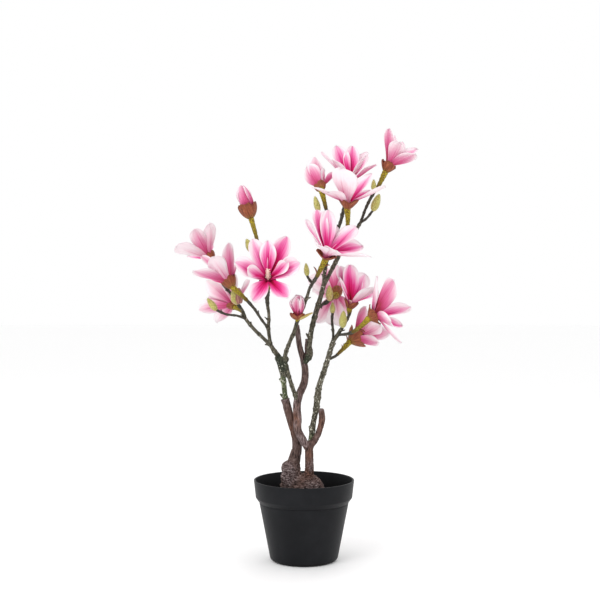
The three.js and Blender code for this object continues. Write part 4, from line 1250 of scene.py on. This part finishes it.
for name, twig in blooming.items():
    bloom = twig["bloom"]
    bm = sheets()
    petals = shut_petals(bloom, *SHUT_BLOOMS[name]) if name in SHUT_BLOOMS else open_petals(bloom)
    spread = SHUT_PALE_SPREAD if name in SHUT_BLOOMS else PALE_SPREAD
    for number, petal in enumerate(petals):
        paleness = bloom["pale"] + spread * vary(bloom["seed"], number + 90)
        add_bent_sheet(bm, head_frame(twig), petal, petal_outline, PETAL_COLUMNS, PETAL_ROWS, paleness)
    piece = as_piece(name.replace("spray", "bloom"), bm, [petal_inside.material, petal_outside.material])
    thickened(piece, PETAL_THICKNESS, 1)
    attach(piece, "root")
    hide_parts(name)

# Stamens. The middle of an open bloom is one plastic moulding: a cream column of small curled pistils with
# a ring of dark magenta stamens round its foot, pushed into the calyx between the petals.
STAMENS_SHOW_ABOVE = 30  # how wide a bloom is open, in degrees
COLUMN_FOOT = 4
COLUMN_LENGTH = 20  # in the one bloom that is turned to the front
SHORT_COLUMN = 9
COLUMN_RADIUS = 2.3
COLUMN_SHAPE = [(0, 0.8), (0.2, 1), (0.4, 1), (0.6, 0.9), (0.8, 0.75), (1, 0.45)]  # shares of length, radius
COLUMN_SIDES = 14
COLUMN_BEND = 9  # how far it bends up at its tip
THROAT = [(1.5, 4), (3.5, 6), (5, 7), (6, 6), (6.6, 4), (6.8, 1)]  # height and radius of the crimson seat
THROAT_SIDES = 20
PISTILS = 44
PISTIL_LENGTH = 4.6
PISTIL_RISE = 0.7  # how far up for each millimetre out
STAMENS = 30
STAMEN_LENGTH = 10
STAMEN_REACH = 2.2


def add_cone(bm, foot, direction, length, foot_radius, tip_radius, sides=5, slot=0):
    """A closed cone from its foot along a direction."""
    matrix = bloom_frame(foot, direction) @ Matrix.Translation((0, 0, 0.5 * length))
    made = bmesh.ops.create_cone(bm, cap_ends=True, segments=sides, radius1=foot_radius, radius2=tip_radius,
                                 depth=length, matrix=matrix)["verts"]
    for face in {face for vert in made for face in vert.link_faces}:
        face.material_index = slot


cream_column = Finish("cream_column", 0.6, specular=0.3)
column_grain = cream_column.noise(cream_column.places((1, 1, 1)), 600, 3, 0.6)
cream_column.colour(cream_column.ramp(column_grain, [(0.3, (238, 200, 178)), (0.5, (252, 236, 220)),
                                                     (0.7, (255, 250, 242))]))
cream_column.bump(column_grain, 0.3)
crimson_stamen = Finish("crimson_stamen", 0.55, specular=0.3)
stamen_grain = crimson_stamen.noise(crimson_stamen.places((1, 1, 1)), 500, 3, 0.6)
crimson_stamen.colour(crimson_stamen.ramp(stamen_grain, [(0.3, (110, 6, 44)), (0.5, (160, 16, 74)),
                                                         (0.7, (204, 66, 118))]))
crimson_stamen.bump(stamen_grain, 0.3)

for name, twig in blooming.items():
    bloom = twig["bloom"]
    if bloom["open"] < STAMENS_SHOW_ABOVE:
        continue
    seed = bloom["seed"]
    matrix = head_frame(twig)
    upward = matrix.to_3x3().inverted() @ Vector((0, 0, 1))
    column = COLUMN_LENGTH if name == "spray_left_centre" else SHORT_COLUMN
    bent = Vector((upward.x, upward.y, 0)) * COLUMN_BEND * column / COLUMN_LENGTH
    bm = bmesh.new()
    core = [(Vector((0, 0, COLUMN_FOOT + column * share)) + bent * share * share, COLUMN_RADIUS * radius)
            for share, radius in COLUMN_SHAPE]
    add_limb(bm, round_end(core), COLUMN_SIDES)
    add_limb(bm, [(Vector((0, 0, rise)), radius) for rise, radius in THROAT], THROAT_SIDES, slot=1)
    for i in range(PISTILS):
        share = 0.25 + 0.75 * (i + 0.5) / PISTILS
        turn = math.radians(GOLDEN_TURN * i)
        out = Vector((math.cos(turn), math.sin(turn), 0))
        place = Vector((0, 0, COLUMN_FOOT + column * share)) + bent * share ** 2
        place += out * COLUMN_RADIUS * (0.95 - 0.45 * share)
        rising = out + Vector((0, 0, PISTIL_RISE))
        knee = place + rising * 0.5 * PISTIL_LENGTH
        add_cone(bm, place, rising, 0.62 * PISTIL_LENGTH, 0.75, 0.5)
        add_cone(bm, knee, out * 0.2 + Vector((0, 0, -1 if i % 3 else 1)), 0.4 * PISTIL_LENGTH, 0.5, 0.25)
    for i in range(STAMENS):
        turn = math.radians(GOLDEN_TURN * i + 20 * vary(seed, i))
        lean = 0.35 + 0.5 * vary(seed, i + 40)
        out = Vector((math.cos(turn), math.sin(turn), 0))
        length = STAMEN_LENGTH * (0.75 + 0.35 * vary(seed, i + 80))
        foot = out * STAMEN_REACH + Vector((0, 0, COLUMN_FOOT))
        add_cone(bm, foot, out * lean + Vector((0, 0, 1)), length, 0.9, 0.45, slot=1)
    bmesh.ops.recalc_face_normals(bm, faces=bm.faces)
    bmesh.ops.transform(bm, matrix=matrix, verts=bm.verts)
    piece = as_piece(name.replace("spray", "stamens"), bm, [cream_column.material, crimson_stamen.material])
    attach(piece, "root")
    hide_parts(name)

# Buds. Pointed yellow-green buds of foam under a furry skin, with a seam down one side where the next leaf
# would open, each pushed over the end of its twig.
BUD_LENGTH = 30
BUD_WIDTH = 14
BUD_SLIMMING = 0.42  # how much slimmer than a ball's a bud's far end is
BUD_SEAM = 0.16  # how deep its seam is, as a share of its radius, and how wide, in radians
BUD_HAIRS = 260
HAIR_LENGTH = 1.5
HAIR_RADIUS = 0.16
HAIR_TIP_RADIUS = 0.03
HAIR_SIDES = 3
HAIR_RISE = 1.3  # how strongly the hairs lean towards the bud's tip
BUD_GREEN, BUD_BROWN, BUD_YELLOW = 0.35, 0.55, 0.1  # how warm a bud's colour is
FLAPS = {  # how brown the opened scale beside a bud or a shut bloom is, and its shape
    "bud_twig_left": (1, dict(length=28, width=20, cup=0.6, start=8.5, turn=-35, foot=30, first=14, last=-24,
                              seed=4, ruffle=0.5)),
    "spray_centre_bud": (0, dict(length=27, width=17, cup=0.5, start=3, turn=-10, foot=72, first=60, last=48,
                                 seed=9, ruffle=0.5)),
}
FLAP_THICKNESS = 1.2
FLAP_COLUMNS = 14
FLAP_ROWS = 16
BUD_WARMTH = {"spray_right_back": BUD_BROWN, "spray_centre_front": BUD_YELLOW, "bud_twig_right": BUD_YELLOW,
              "bud_twig_top_right": BUD_YELLOW}


def bud_place(length, width, seam, direction):
    """A place on a bud's skin, from a direction out of its middle."""
    along = 0.5 + 0.5 * direction.z
    turn = math.atan2(direction.y, direction.x)
    slim = 1 - BUD_SLIMMING * max(0, along - 0.35) ** 1.3
    half = 0.5 * width * math.sqrt(max(0, 1 - direction.z ** 2)) * slim
    off_seam = math.remainder(turn - seam, math.tau) / BUD_SEAM
    half *= 1 - BUD_SEAM * math.exp(-(off_seam ** 2)) * min(1, 3 * along)
    rise = length * (0.9 * along - 0.08 + 0.1 * along ** 4)
    return Vector((half * math.cos(turn), half * math.sin(turn), rise))


bud_fur = Finish("bud_fur", 0.8, specular=0.2)
fur_noise = bud_fur.noise(bud_fur.places((1, 1, 0.45)), 700, 4, 0.65)
green_bud = bud_fur.ramp(fur_noise, [(0.3, (134, 128, 60)), (0.5, (184, 178, 98)), (0.72, (216, 210, 146))])
warm_bud = bud_fur.ramp(fur_noise, [(0.3, (140, 92, 62)), (0.5, (186, 150, 104)), (0.72, (222, 196, 156))])
bud_fur.colour(bud_fur.mix(bud_fur.step(bud_fur.attribute("warmth"), 0.35, 0.9), green_bud, warm_bud))
bud_fur.bump(fur_noise, 0.5)
bud_fur.shader.inputs["Sheen Weight"].default_value = 0.4

opening_bud = Finish("opening_bud", 0.7, specular=0.2)
flap_across, flap_up = opening_bud.uv("sheet_map")
flap_noise = opening_bud.noise(opening_bud.vector(opening_bud.sum("MULTIPLY", flap_across, 14),
                                                  opening_bud.sum("MULTIPLY", flap_up, 2), 0), 1, 4, 0.6)
brown_scale = opening_bud.ramp(flap_noise, [(0.3, (120, 72, 70)), (0.5, (164, 112, 104)),
                                            (0.7, (204, 160, 142))])
green_scale = opening_bud.ramp(flap_noise, [(0.3, (150, 128, 60)), (0.5, (196, 178, 106)),
                                            (0.7, (222, 210, 156))])
opening_bud.colour(opening_bud.mix(opening_bud.attribute("tint"), green_scale, brown_scale))
opening_bud.bump(flap_noise, 0.6)

for number, (name, twigs) in enumerate(SPRAYS.items()):
    twig = twigs[-1]
    if "bud" not in twig:
        continue
    bud = twig["bud"]
    length = bud.get("length", BUD_LENGTH)
    width = bud.get("width", BUD_WIDTH)
    seam = math.tau * vary(number, 3)
    bm = bmesh.new()
    warmth = bm.verts.layers.float.new("warmth")
    for vert in bmesh.ops.create_uvsphere(bm, u_segments=32, v_segments=22, radius=1)["verts"]:
        vert.co = bud_place(length, width, seam, vert.co.copy())
    for i in range(BUD_HAIRS):
        height = 1 - 2 * (i + 0.5) / BUD_HAIRS
        turn = math.radians(GOLDEN_TURN * i)
        flat = math.sqrt(1 - height * height)
        direction = Vector((flat * math.cos(turn), flat * math.sin(turn), height))
        foot = bud_place(length, width, seam, direction)
        lean = direction + Vector((0, 0, HAIR_RISE))
        hair = HAIR_LENGTH * (0.6 + 0.6 * vary(number, i))
        add_cone(bm, foot, lean, hair, HAIR_RADIUS, HAIR_TIP_RADIUS, HAIR_SIDES)
    for vert in bm.verts:
        near_foot = max(0, 1 - vert.co.z / (0.3 * length))
        vert[warmth] = BUD_WARMTH.get(name, BUD_GREEN) + 0.35 * near_foot + 0.3 * noise.noise(vert.co / 6)
    bmesh.ops.transform(bm, matrix=head_frame(twig), verts=bm.verts)
    bmesh.ops.recalc_face_normals(bm, faces=bm.faces)
    piece = as_piece("bud_" + plain_name(name), bm, [bud_fur.material])
    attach(piece, "root")
    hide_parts(name)

for name, (brownness, sheet) in FLAPS.items():
    bm = sheets()
    on_head = head_frame(SPRAYS[name][-1])
    add_bent_sheet(bm, on_head, sheet, scale_outline, FLAP_COLUMNS, FLAP_ROWS, brownness)
    piece = as_piece("scale_" + name, bm, [opening_bud.material])
    thickened(piece, FLAP_THICKNESS, 0)
    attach(piece, "root")
    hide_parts(name)
